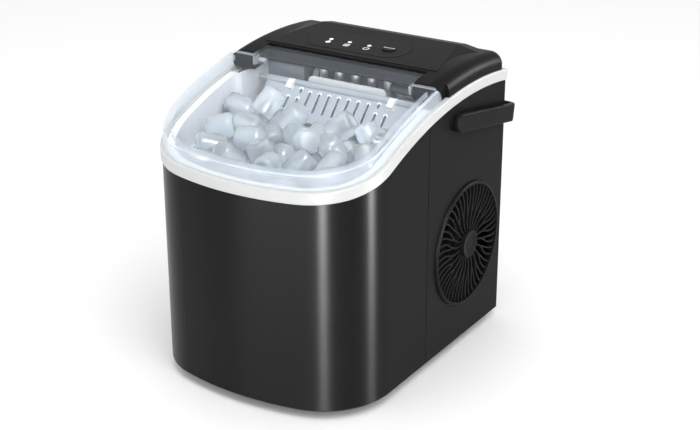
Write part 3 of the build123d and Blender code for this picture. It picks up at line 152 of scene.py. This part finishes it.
# white lips with a faint glow: the glow is a painted highlight
lipPaintedHighlight = {"colour": shovelPaintedShade["tab"], "roughness": 0.31, "uneven": 0.06, "patch": 60,
            "glow": 0.2, "glowColour": (1, 1, 1)}
lampWhite = {"colour": (0.82, 0.84, 0.84), "glow": 0.25, "glowColour": (0.9, 0.95, 1)}
clearMould = {"colour": (0.80, 0.87, 0.95), "roughness": 0.06, "specular": 0.12, "alpha": 0.012,
              "haze": 0.012, "hazeScale": 9, "skirt": 0.29, "skirtPower": 1.5, "edge": 0.7, "edgePower": 7.0,
              "foldHighlight": 0.3, "foldAt": 0.42, "foldWidth": 0.24, "milkyUpTo": 10, "clearFrom": 18}
iceClear = {"colour": (0.7, 0.8, 0.93), "cloud": (0.93, 0.965, 1.0), "roughness": 0.24, "specular": 0.1,
            "through": 0.75, "scatter": 0.008, "bigCloud": (24, 0.6), "smallCloud": (55, 0.7),
            "dents": 140, "dentStrength": 0.25, "dentDepth": 0.001}
# colour, roughness and metallic of the plainer slots, and how they are mottled
mottledSlots = {
    "zinc_steel": ((0.34, 0.35, 0.36), 0.55, 0.7),
    "fin_aluminium": ((0.28, 0.29, 0.3), 0.6, 0.5),
    "copper": ((0.45, 0.23, 0.14), 0.5, 0.7),
    "nickel": ((0.44, 0.47, 0.52), 0.6, 0.25),
    "black_paint": ((0.012, 0.012, 0.013), 0.3, 0.0),
    "soft_rubber": ((0.014, 0.014, 0.014), 0.7, 0.0),
    "circuit_green": ((0.02, 0.14, 0.05), 0.45, 0.0),
    "white_foam": ((0.8, 0.8, 0.77), 0.8, 0.0),
    "lamp_white": (lampWhite["colour"], 0.3, 0.0),
}
mottle = {"uneven": 0.12, "patch": 180, "paler": 1.12, "paleScale": 40,
          "pitStrength": 0.1, "pitDepth": 0.00005}


def startFinish(name, finish, **fixed):
    if "specular" in finish:
        fixed["Specular IOR Level"] = finish["specular"]
    material, shader, places = startMaterial(
        name, finish["colour"], finish["roughness"], finish.get("metallic", 0.0), **fixed
    )
    if "uneven" in finish:
        wander = finish["uneven"] * noise(places, finish["patch"])
        feed(shader, "Roughness", finish["roughness"] - finish["uneven"] / 2 + wander)
    return material, shader, places


def makeGlow(shader, finish):
    shader.inputs["Emission Color"].default_value = (*finish["glowColour"], 1)
    shader.inputs["Emission Strength"].default_value = finish["glow"]


def makeGloss():
    # highlights are drawn out up and down; the flat side walls get a duller, paler copy of the black than
    # the bowed front: painted light, a lit copy of the same plastic set for how bright the sides look
    material, shader, places = startFinish("glossShell", glossShell, **{
        "Anisotropic": glossShell["stretch"], "Anisotropic Rotation": glossShell["stretchTurn"],
    })
    peel = bumps(noise(places, glossShell["peel"]), glossShell["peelStrength"], glossShell["peelDepth"])
    feed(shader, "Normal", peel)
    paintedSideCopy = places.node("ShaderNodeBsdfPrincipled", 0, {
        "Base Color": (*paintedSideWall["colour"], 1), "Roughness": paintedSideWall["roughness"],
        "Specular IOR Level": paintedSideWall["specular"], "Normal": peel,
    })
    aside = normalPart(places, "X")
    aside = aside.node("ShaderNodeMath", 0, {0: aside}, operation="ABSOLUTE")
    flat = aside.node("ShaderNodeMapRange", 0, {
        "Value": aside, "From Min": paintedSideWall["startsAt"], "From Max": paintedSideWall["fullAt"],
    })
    both = flat.node("ShaderNodeMixShader", 0, {0: flat, 1: Wire(places.tree, shader.outputs[0]), 2: paintedSideCopy})
    both.plug(both, places.tree.nodes["Material Output"].inputs["Surface"])
    return material


def makeSatin():
    material, shader, places = startFinish("satinShell", satinShell)
    grain = noise(places, satinShell["grain"])
    feed(shader, "Normal", bumps(grain, satinShell["grainStrength"], satinShell["grainDepth"]))
    return material


def makeShovel():
    # the shovel plate is painted greyer than its two stop tabs: painted shade on the same white plastic
    material, shader, places = startFinish("shovelPaintedShade", shovelPaintedShade)
    across, depth, height = (places.node("ShaderNodeSeparateXYZ", axis, {0: places}) for axis in "XYZ")
    offTab = (across * across) ** 0.5 - shovelPaintedShade["tabAcross"] * mm
    depth = depth - (shovelPaintedShade["axisDepth"] - midDepth) * mm
    height = height - shovelPaintedShade["axisHeight"] * mm
    offAxis = (depth * depth + height * height) ** 0.5
    inReach = offAxis.sums("LESS_THAN", offAxis, shovelPaintedShade["tabReach"] * mm)
    onTab = inReach * offTab.sums("LESS_THAN", (offTab * offTab) ** 0.5, shovelPaintedShade["tabHalf"] * mm)
    feed(shader, "Base Color", blendColours(onTab, shovelPaintedShade["colour"], shovelPaintedShade["tab"]))
    return material


def makeClear():
    # clear plastic is denser where it is seen edge on, and its skirt is milkier than its top
    material, shader, places = startFinish("clearMould", clearMould)
    facing = places.node("ShaderNodeLayerWeight", "Facing", {"Blend": 0.5})
    haze = clearMould["haze"] * noise(places, clearMould["hazeScale"])
    up = normalPart(places, "Z")
    upright = 1 - up * up
    # the pale line along the rounded fold is a painted highlight
    foldHighlight = (up - clearMould["foldAt"]) / clearMould["foldWidth"]  # the rounded fold shows as a pale line
    foldHighlight = foldHighlight.sums("MAXIMUM", 1 - foldHighlight * foldHighlight, 0.0)
    back = places.node("ShaderNodeSeparateXYZ", "Y", {0: places})
    ahead = back.node("ShaderNodeMapRange", 0, {
        "Value": back, "From Min": clearMould["clearFrom"] * mm, "From Max": clearMould["milkyUpTo"] * mm,
    })
    milky = clearMould["skirt"] * upright ** clearMould["skirtPower"] + clearMould["foldHighlight"] * foldHighlight
    clear = clearMould["alpha"] + haze + milky * ahead  # the strip at the hinge stays clear
    feed(shader, "Alpha", clear + clearMould["edge"] * facing ** clearMould["edgePower"])
    return material


def makeIce():
    # clear skin with cloudy patches inside
    material, shader, places = startFinish("iceClear", iceClear, **{
        "IOR": 1.31, "Transmission Weight": iceClear["through"], "Subsurface Weight": 1.0,
        "Subsurface Radius": (1.0, 1.0, 1.0), "Subsurface Scale": iceClear["scatter"],
    })
    bigScale, bigShare = iceClear["bigCloud"]
    smallScale, smallShare = iceClear["smallCloud"]
    cloud = smallShare * noise(places, smallScale, detail=2.0) + bigShare * noise(places, bigScale)
    feed(shader, "Base Color", blendColours(cloud, iceClear["colour"], iceClear["cloud"]))
    dents = noise(places, iceClear["dents"])
    feed(shader, "Normal", bumps(dents, iceClear["dentStrength"], iceClear["dentDepth"]))
    return material


def makeMottled(slotName):
    colour, roughness, metallic = mottledSlots[slotName]
    finish = {"colour": colour, "roughness": roughness, "metallic": metallic}
    finish.update(uneven=mottle["uneven"], patch=mottle["patch"])
    material, shader, places = startFinish(slotName, finish)
    paler = tuple(min(1.0, part * mottle["paler"]) for part in colour)
    feed(shader, "Base Color", blendColours(noise(places, mottle["paleScale"]), colour, paler))
    if slotName == "zinc_steel":
        pits = noise(places, mottle["patch"])
        feed(shader, "Normal", bumps(pits, mottle["pitStrength"], mottle["pitDepth"]))
    if slotName == "lamp_white":
        makeGlow(shader, lampWhite)
    return material


def makeFinishes():
    finishes = {
        "black_gloss": makeGloss(), "black_satin": makeSatin(), "shovel": makeShovel(),
        "clear_plastic": makeClear(), "ice": makeIce(),
        "panel_black": startFinish("panelFilm", panelFilm)[0],
        "white_plastic": startFinish("whiteMould", whiteMould)[0],
        "trim": startFinish("trimMould", trimMould)[0],
        "motor": startFinish("motorPaintedShade", motorPaintedShade)[0],
        "ink": startFinish("markInk", markInk)[0],
    }
    # the lips glow faintly: a painted highlight at the slots' upper ends
    material, shader, places = startFinish("lipPaintedHighlight", lipPaintedHighlight)
    makeGlow(shader, lipPaintedHighlight)
    finishes["lip"] = material
    for slotName in mottledSlots:
        finishes[slotName] = makeMottled(slotName)
    return finishes


finishes = makeFinishes()
# the shovel's and the gear motor's own finishes carry painted shade; the trim's is its own colour
ownFinish = {"trim_frame": "trim", "ice_shovel": "shovel", "tray_gear_motor": "motor"}
slotOf = {part["node"]: part["material_slot"] for part in frame["record"]["subparts"]}
for name, piece in frame["nodes"].items():
    piece.data.materials.clear()
    piece.data.materials.append(finishes[ownFinish.get(name, slotOf[name])])
print("finishes given to every CAD node")


def clearSelection():
    if bpy.context.object and bpy.context.object.mode != "OBJECT":
        bpy.ops.object.mode_set(mode="OBJECT")
    bpy.ops.object.select_all(action="DESELECT")


squareOn = 0.9  # part of a face's normal along an axis from which it counts as facing that way


def pickFaces(piece, wanted):
    # selects the faces whose centre and normal suit, in edit mode
    mesh = bmesh.from_edit_mesh(piece.data)
    bpy.ops.mesh.select_mode(type="FACE")
    bpy.ops.mesh.select_all(action="DESELECT")
    for face in mesh.faces:
        face.select_set(bool(wanted(face.calc_center_median(), face.normal)))
    mesh.select_flush_mode()
    bmesh.update_edit_mesh(piece.data)


def joinCopies(model, places, name):
    # one copy of the model at each place, joined as one piece
    copies = []
    for place in places:
        copy = model.copy()
        copy.data = model.data.copy()
        bpy.context.collection.objects.link(copy)
        copy.data.transform(place)
        copies.append(copy)
    bpy.data.objects.remove(model)
    clearSelection()
    for copy in copies:
        copy.select_set(True)
    bpy.context.view_layer.objects.active = copies[0]
    bpy.ops.object.join()
    joined = bpy.context.object
    joined.name = name
    return joined


def finishPiece(piece, material, body, smooth=35):  # smooth: up to this angle, in degrees
    clearSelection()
    piece.select_set(True)
    bpy.context.view_layer.objects.active = piece
    bpy.ops.object.transform_apply(location=True, rotation=True, scale=True)
    if smooth:
        bpy.ops.object.shade_smooth_by_angle(angle=math.radians(smooth))
    piece.data.materials.clear()
    piece.data.materials.append(material)
    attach(piece, body)


# one piece of ice, in mm and shares of its radius
ice = {"radius": 11.5, "length": 25, "sides": 14, "hollow": 0.45, "hollowDepth": 15, "hollowTaper": 0.7,
       "domeInset": 0.3, "dome": 2.2, "round": 3.2, "roundSteps": 2, "roundProfile": 0.6,
       "rimFrom": 0.95, "levelWithin": 1e-6}
# the heap of them in the basket, in mm: how each rolls to rest, and the room left below the lid
heap = {"pieces": 185, "sizes": (0.92, 1.06), "seed": 7, "tries": 4, "spacing": 12.6, "frontStart": 30,
        "basketFloor": 108.5, "basketInset": 16, "basketRear": 143.5,
        "turns": 10, "firstStep": 6.0, "lastStep": 0.4, "stepShare": 0.6, "leastDrop": 0.05,
        "frontZone": 60, "frontSlack": 13, "slack": 16}
# the cover and lid round it, in mm
shell = {"halfWidth": 115, "bow": 265.5, "corner": 69, "dip": 230, "crest": 380, "crestDepth": 225,
         "crestHeight": 254.4, "frontHeight": 204.7, "lidUnder": 24.8}


def modelIce():
    # a thimble of ice: round at one end, hollow at the other
    radius = ice["radius"] * mm
    length = ice["length"] * mm
    clearSelection()
    bpy.ops.mesh.primitive_cylinder_add(vertices=ice["sides"], radius=radius, depth=length)
    piece = bpy.context.object
    piece.name = "icePiece"
    bpy.ops.object.mode_set(mode="EDIT")
    pickFaces(piece, lambda centre, normal: normal.z > squareOn)
    bpy.ops.mesh.inset(thickness=radius * (1 - ice["hollow"]))
    bpy.ops.mesh.extrude_region_move(TRANSFORM_OT_translate={"value": (0, 0, -ice["hollowDepth"] * mm)})
    bpy.ops.transform.resize(value=(ice["hollowTaper"], ice["hollowTaper"], 1))
    pickFaces(piece, lambda centre, normal: normal.z < -squareOn)
    bpy.ops.mesh.inset(thickness=radius * ice["domeInset"])
    bpy.ops.transform.translate(value=(0, 0, -ice["dome"] * mm))
    bpy.ops.mesh.select_all(action="DESELECT")
    mesh = bmesh.from_edit_mesh(piece.data)
    bpy.ops.mesh.select_mode(type="EDGE")
    for edge in mesh.edges:  # the two outer rims
        ends = [vert.co for vert in edge.verts]
        level = abs(ends[0].z - ends[1].z) < ice["levelWithin"]
        outer = all(math.hypot(end.x, end.y) > radius * ice["rimFrom"] for end in ends)
        edge.select_set(level and outer)
    bmesh.update_edit_mesh(piece.data)
    bpy.ops.mesh.bevel(offset=ice["round"] * mm, segments=ice["roundSteps"], profile=ice["roundProfile"])
    bpy.ops.object.mode_set(mode="OBJECT")
    bpy.ops.object.shade_smooth()
    return piece


def lidUnder(depth):
    # height of the lid's underside above a place behind the front
    crestFoot = shell["crestHeight"] - shell["crest"]
    span = math.hypot(shell["crestDepth"], crestFoot - shell["frontHeight"])
    alongY = shell["crestDepth"] / span
    alongZ = (crestFoot - shell["frontHeight"]) / span
    reach = shell["crest"] + shell["dip"]
    along = (shell["dip"] ** 2 - reach ** 2 + span ** 2) / (2 * span)
    across = math.sqrt(shell["dip"] ** 2 - along ** 2)
    dipDepth = along * alongY - across * alongZ
    dipHeight = shell["frontHeight"] + along * alongZ + across * alongY
    offset = shell["lidUnder"]
    share = (shell["crest"] + offset) / reach
    if depth < shell["crestDepth"] + share * (dipDepth - shell["crestDepth"]):
        return dipHeight - math.sqrt((shell["dip"] - offset) ** 2 - (depth - dipDepth) ** 2)
    return crestFoot + math.sqrt((shell["crest"] + offset) ** 2 - (depth - shell["crestDepth"]) ** 2)


def frontOf(across, margin):
    # depth of the bowed basket wall at a place across, kept off by a margin
    lean = math.asin((shell["halfWidth"] - shell["corner"]) / (shell["bow"] - shell["corner"]))
    bow = shell["bow"] - margin
    corner = shell["corner"] - margin
    cornerAcross = shell["halfWidth"] - shell["corner"]
    cornerDepth = shell["bow"] - (shell["bow"] - shell["corner"]) * math.cos(lean)
    across = abs(across)
    if across < bow * math.sin(lean):
        return shell["bow"] - math.sqrt(bow ** 2 - across ** 2)
    inside = max(0.0, corner ** 2 - (across - cornerAcross) ** 2)
    return cornerDepth - math.sqrt(inside)


def dropIce(dice):
    # balls let fall one by one; each rolls down the others until it rests
    ball = heap["spacing"]
    margin = heap["basketInset"] + ball
    half = shell["halfWidth"] - margin
    rear = heap["basketRear"] - ball
    rest = []

    def held(across, depth):
        across = max(-half, min(half, across))
        return across, max(frontOf(across, margin), min(rear, depth))

    def landing(across, depth):
        height = heap["basketFloor"] + ball
        for other in rest:
            apart = (across - other[0]) ** 2 + (depth - other[1]) ** 2
            if apart < (2 * ball) ** 2:
                height = max(height, other[2] + math.sqrt((2 * ball) ** 2 - apart))
        return height

    for count in range(heap["pieces"] * heap["tries"]):
        across, depth = held(dice.uniform(-half, half), dice.uniform(heap["frontStart"], rear))
        height = landing(across, depth)
        step = heap["firstStep"]
        while step > heap["lastStep"]:
            better = False
            for turn in range(heap["turns"]):
                angle = 2 * math.pi * (turn + dice.random()) / heap["turns"]
                place = held(across + step * math.cos(angle), depth + step * math.sin(angle))
                lower = landing(*place)
                if lower < height - heap["leastDrop"]:
                    across, depth = place
                    height = lower
                    better = True
                    break
            if not better:
                step *= heap["stepShare"]
        slack = heap["frontSlack"] if depth < heap["frontZone"] else heap["slack"]
        if height + ball < lidUnder(depth) - slack:
            rest.append((across, depth, height))
        if len(rest) >= heap["pieces"]:
            break
    return rest


def heapIce():
    model = modelIce()
    dice = random.Random(heap["seed"])
    rest = dropIce(dice)
    places = []
    for across, depth, height in rest:
        turn = Euler([dice.uniform(0, 2 * math.pi) for axis in range(3)]).to_matrix().to_4x4()
        size = Matrix.Diagonal([dice.uniform(*heap["sizes"]) for axis in range(3)] + [1])
        places.append(Matrix.Translation(rowPlace(across, depth, height)) @ turn @ size)
    joined = joinCopies(model, places, "iceHeap")
    finishPiece(joined, finishes["ice"], "ice_basket", smooth=0)
    print("ice heaped:", len(rest), "pieces, top at", round(max(place[2] for place in rest)), "mm")


heapIce()

# pale lips round the upper ends of the shovel's slots, in mm and degrees; their faint glow is a painted
# highlight
lips = {"slope": 47, "pitch": 10.8, "width": 2.4, "face": 1.0, "start": 7, "drop": 8, "notch": 4.8,
        "major": 1.7, "minor": 0.75, "round": 16, "thick": 8,
        "middle": (-3, -2, -1, 0, 1, 2, 3), "outer": (-5, -4, 4, 5), "notched": (-4, 4)}


def modelLip():
    # half of a ring, closed at both ends
    clearSelection()
    bpy.ops.mesh.primitive_torus_add(
        major_segments=lips["round"], minor_segments=lips["thick"],
        major_radius=lips["major"] * mm, minor_radius=lips["minor"] * mm,
    )
    piece = bpy.context.object
    bpy.ops.object.mode_set(mode="EDIT")
    pickFaces(piece, lambda centre, normal: centre.y < 0)
    bpy.ops.mesh.delete(type="FACE")
    bpy.ops.mesh.select_all(action="SELECT")
    bpy.ops.mesh.fill_holes(sides=0)
    bpy.ops.mesh.normals_make_consistent(inside=False)
    bpy.ops.object.mode_set(mode="OBJECT")
    return piece


def setLips():
    spots = [(column, lips["start"]) for column in lips["middle"]]
    spots += [(column, lips["start"] + lips["drop"]) for column in lips["outer"]]
    spots += [(column, lips["notch"]) for column in lips["notched"]]
    base = Matrix.Translation(rowPlace(0, shovelPaintedShade["axisDepth"], shovelPaintedShade["axisHeight"]))
    base = base @ Matrix.Rotation(math.radians(lips["slope"]), 4, "X")
    places = []
    for column, start in spots:
        end = -start - lips["width"] / 2
        places.append(base @ Matrix.Translation((column * lips["pitch"] * mm, end * mm, lips["face"] * mm)))
    joined = joinCopies(modelLip(), places, "slotLips")
    finishPiece(joined, finishes["lip"], "ice_shovel", smooth=60)
    print("slot lips set:", len(spots))


setLips()

# black sheet behind the air slots in the back wall, in mm: painted shade, drawn as a dust screen so the
# inside seen through the slots stays dark
shadeSheet = {"across": 42, "depth": 284.6, "height": 106, "wide": 108, "tall": 104, "thick": 1.2,
          "rim": 3, "sunk": 0.3}


def fitShadeSheet():
    clearSelection()
    bpy.ops.mesh.primitive_cube_add(size=1)
    piece = bpy.context.object
    piece.name = "slotShadeSheet"
    bpy.ops.object.mode_set(mode="EDIT")
    bpy.ops.transform.resize(value=(shadeSheet["wide"] * mm, shadeSheet["thick"] * mm, shadeSheet["tall"] * mm))
    for side in (-1, 1):
        pickFaces(piece, lambda centre, normal: normal.y * side > squareOn)
        bpy.ops.mesh.inset(thickness=shadeSheet["rim"] * mm)
        sink = (0, -side * shadeSheet["sunk"] * mm, 0)
        bpy.ops.mesh.extrude_region_move(TRANSFORM_OT_translate={"value": sink})
    bpy.ops.object.mode_set(mode="OBJECT")
    piece.location = rowPlace(shadeSheet["across"], shadeSheet["depth"], shadeSheet["height"])
    finishPiece(piece, finishes["black_satin"], "cabinet")
    print("dust screen fitted")


fitShadeSheet()

# marks on the sloping control panel, in mm; its middle lies "pastEdge" behind the front edge of the slope
panel = {"across": -7, "depth": 217, "edgeHeight": 280.2, "pastEdge": 30.5, "rise": 4.2, "run": 73.5,
         "top": 0.2, "inkHeight": 0.06, "lamps": (-32, -11, 11),
         "markDrop": -8.4, "markSide": 1.5, "markSize": 3.3,
         "word": "ON/OFF", "wordSize": 3.3, "buttonPlace": 33, "buttonTop": 1.4}
# the shape of each mark, in shares of its size
dropMark = {"sides": 24, "disc": 0.8, "point": 0.75, "pull": 0.9}
cubeMark = {"outer": 1.8, "corner": 0.35, "cornerSteps": 3, "line": 0.3, "gap": 0.22,
            "gapFrom": 0.36, "gapTo": 0.52}
powerMark = {"sides": 32, "line": 0.26, "gap": 0.36, "barPlace": 0.62, "barStretch": 3.6}


def panelMatrix(x, y, lift):
    height = panel["edgeHeight"] + panel["rise"] * panel["pastEdge"] / panel["run"]
    slope = math.atan2(panel["rise"], panel["run"])
    base = Matrix.Translation(rowPlace(panel["across"], panel["depth"], height))
    return base @ Matrix.Rotation(slope, 4, "X") @ Matrix.Translation((x * mm, y * mm, lift * mm))


def layInk(piece, x, y, top, body):
    # gives a flat mark its thickness and lays it on the panel
    clearSelection()
    piece.select_set(True)
    bpy.context.view_layer.objects.active = piece
    thicken = piece.modifiers.new("thicken", "SOLIDIFY")
    thicken.thickness = panel["inkHeight"] * mm
    thicken.offset = 0
    bpy.ops.object.modifier_apply(modifier="thicken")
    piece.data.transform(panelMatrix(x, y, top + panel["inkHeight"] / 2))
    finishPiece(piece, finishes["ink"], body, smooth=0)


def modelDrop(size):
    # a water drop: a disc drawn out to a point
    bpy.ops.mesh.primitive_circle_add(
        vertices=dropMark["sides"], radius=size * dropMark["disc"] * mm, fill_type="NGON"
    )
    piece = bpy.context.object
    piece.name = "waterMark"
    bpy.ops.object.mode_set(mode="EDIT")
    mesh = bmesh.from_edit_mesh(piece.data)
    bpy.ops.mesh.select_mode(type="VERT")
    bpy.ops.mesh.select_all(action="DESELECT")
    top = max(mesh.verts, key=lambda vert: vert.co.y)
    top.select_set(True)
    bmesh.update_edit_mesh(piece.data)
    bpy.ops.transform.translate(
        value=(0, size * dropMark["point"] * mm, 0), use_proportional_edit=True,
        proportional_edit_falloff="SHARP", proportional_size=size * dropMark["pull"] * mm,
    )
    bpy.ops.object.mode_set(mode="OBJECT")
    return piece


def modelCube(size):
    # an ice cube: a square frame with a smaller square inside
    size *= mm
    bpy.ops.mesh.primitive_plane_add(size=size * cubeMark["outer"])
    piece = bpy.context.object
    piece.name = "fullMark"
    bpy.ops.object.mode_set(mode="EDIT")
    bpy.ops.mesh.bevel(offset=size * cubeMark["corner"], segments=cubeMark["cornerSteps"], affect="VERTICES")
    bpy.ops.mesh.select_all(action="SELECT")
    bpy.ops.mesh.inset(thickness=size * cubeMark["line"])
    bpy.ops.mesh.inset(thickness=size * cubeMark["gap"])
    near = cubeMark["gapFrom"] * size
    far = cubeMark["gapTo"] * size
    pickFaces(piece, lambda centre, normal: near < max(abs(centre.x), abs(centre.y)) < far)
    bpy.ops.mesh.delete(type="FACE")
    bpy.ops.object.mode_set(mode="OBJECT")
    return piece


def modelPower(size):
    # a ring open at the top with a short bar in the gap
    size *= mm
    bpy.ops.mesh.primitive_circle_add(vertices=powerMark["sides"], radius=size, fill_type="NGON")
    piece = bpy.context.object
    piece.name = "powerMark"
    bpy.ops.object.mode_set(mode="EDIT")
    bpy.ops.mesh.select_all(action="SELECT")
    bpy.ops.mesh.inset(thickness=size * powerMark["line"])
    bpy.ops.mesh.delete(type="FACE")
    pickFaces(piece, lambda centre, normal: centre.y > 0 and abs(centre.x) < size * powerMark["gap"])
    bpy.ops.mesh.delete(type="FACE")
    bpy.ops.mesh.primitive_plane_add(
        size=size * powerMark["line"], location=(0, size * powerMark["barPlace"], 0)
    )
    bpy.ops.transform.resize(value=(1, powerMark["barStretch"], 1))
    bpy.ops.object.mode_set(mode="OBJECT")
    return piece


def markPanel():
    for make, place in zip((modelDrop, modelCube, modelPower), panel["lamps"]):
        clearSelection()
        mark = make(panel["markSize"])
        layInk(mark, place + panel["markSide"], panel["markDrop"], panel["top"], "cabinet")
    clearSelection()
    bpy.ops.object.text_add()
    word = bpy.context.object
    word.name = "switchWord"
    word.data.body = panel["word"]
    word.data.size = panel["wordSize"] * mm
    word.data.align_x = "CENTER"
    word.data.align_y = "CENTER"
    bpy.ops.object.convert(target="MESH")
    layInk(word, panel["buttonPlace"], 0, panel["buttonTop"], "power_button")
    print("panel marked")


markPanel()

# floor, sky and lamps, in metres and watts
studioFloor = {"colour": (0.97, 0.97, 0.97), "roughness": 0.6, "uneven": 0.1, "patch": 3, "specular": 0.2,
               "size": 16}
studioSky = {"strength": 0.86}  # what lights the scene; rays that see it directly meet full white


def layFloor():
    clearSelection()
    bpy.ops.mesh.primitive_plane_add(size=studioFloor["size"])
    floor = bpy.context.object
    floor.name = "studioFloor"
    floor.data.materials.append(startFinish("floorPaint", studioFloor)[0])


def hangSky():
    world = bpy.data.worlds.new("studioSky")
    bpy.context.scene.world = world
    world.use_nodes = True
    tree = world.node_tree
    tree.nodes.clear()
    path = tree.nodes.new("ShaderNodeLightPath")
    seen = Wire(tree, path.outputs["Is Camera Ray"]) + Wire(tree, path.outputs["Is Glossy Ray"])
    seen = seen + Wire(tree, path.outputs["Is Transmission Ray"])
    strength = studioSky["strength"] + (1 - studioSky["strength"]) * seen
    sky = tree.nodes.new("ShaderNodeBackground")
    sky.inputs["Color"].default_value = (1, 1, 1, 1)
    tree.links.new(strength.socket, sky.inputs["Strength"])
    out = tree.nodes.new("ShaderNodeOutputWorld")
    tree.links.new(sky.outputs[0], out.inputs["Surface"])


lampAim = (0, 0, 0.14)
lamps = {
    "keyBox": {"azimuth": 58, "elevation": 50, "away": 1.9, "size": (0.9, 0.9), "power": 8},
    "topBox": {"azimuth": 20, "elevation": 80, "away": 1.7, "size": (1.2, 1.2), "power": 8},
    "iceBox": {"azimuth": 40, "elevation": 52, "away": 1.5,
               "size": (0.5, 0.5), "power": 90, "gloss": True},
    "rimBox": {"azimuth": 144, "elevation": 17, "away": 1.4,
               "size": (0.35, 0.35), "power": 20, "gloss": True},
    "frontStrip": {"azimuth": 32, "elevation": 0, "away": 1.25,
                   "size": (0.18, 0.26), "power": 54, "gloss": True},
    "frontWash": {"azimuth": -3, "elevation": 0, "away": 1.25,
                  "size": (1.15, 0.26), "power": 18, "gloss": True},
    "sideStrip": {"azimuth": 100, "elevation": 0, "away": 1.25,
                  "size": (0.18, 0.26), "power": 58, "gloss": True},
}


def hangLamps():
    for name, lamp in lamps.items():
        turn = math.radians(lamp["azimuth"])
        lift = math.radians(lamp["elevation"])
        way = Vector((math.sin(turn) * math.cos(lift), -math.cos(turn) * math.cos(lift), math.sin(lift)))
        light = bpy.data.lights.new(name, "AREA")
        light.shape = "RECTANGLE"
        light.size, light.size_y = lamp["size"]
        light.energy = lamp["power"]
        holder = bpy.data.objects.new(name, light)
        bpy.context.collection.objects.link(holder)
        holder.location = Vector(lampAim) + way * lamp["away"]
        holder.rotation_euler = way.to_track_quat("Z", "Y").to_euler()
        holder.visible_camera = False
        holder.visible_diffuse = not lamp.get("gloss", False)  # gloss lamps only draw highlights


# camera: place in metres, lens in pixels of the image, sensor in mm
view = {"place": (0.71426, -1.07172, 0.67237), "pitch": 22.49, "azimuth": 32.57, "focal": 1470.7,
        "centre": (353, 208), "image": (700, 430), "sensor": 36, "farthest": 50}


def setCamera():
    width, height = view["image"]
    lens = bpy.data.cameras.new("camera")
    lens.sensor_width = view["sensor"]
    lens.lens = view["focal"] / width * view["sensor"]
    lens.shift_x = (width / 2 - view["centre"][0]) / width
    lens.shift_y = (view["centre"][1] - height / 2) / width
    lens.clip_end = view["farthest"]
    camera = bpy.data.objects.new("camera", lens)
    bpy.context.collection.objects.link(camera)
    camera.location = view["place"]
    camera.rotation_euler = (math.radians(90 - view["pitch"]), 0, math.radians(view["azimuth"]))
    bpy.context.scene.camera = camera


layFloor()
hangSky()
hangLamps()
setCamera()
bpy.context.scene.view_settings.view_transform = "Standard"
print("studio set")
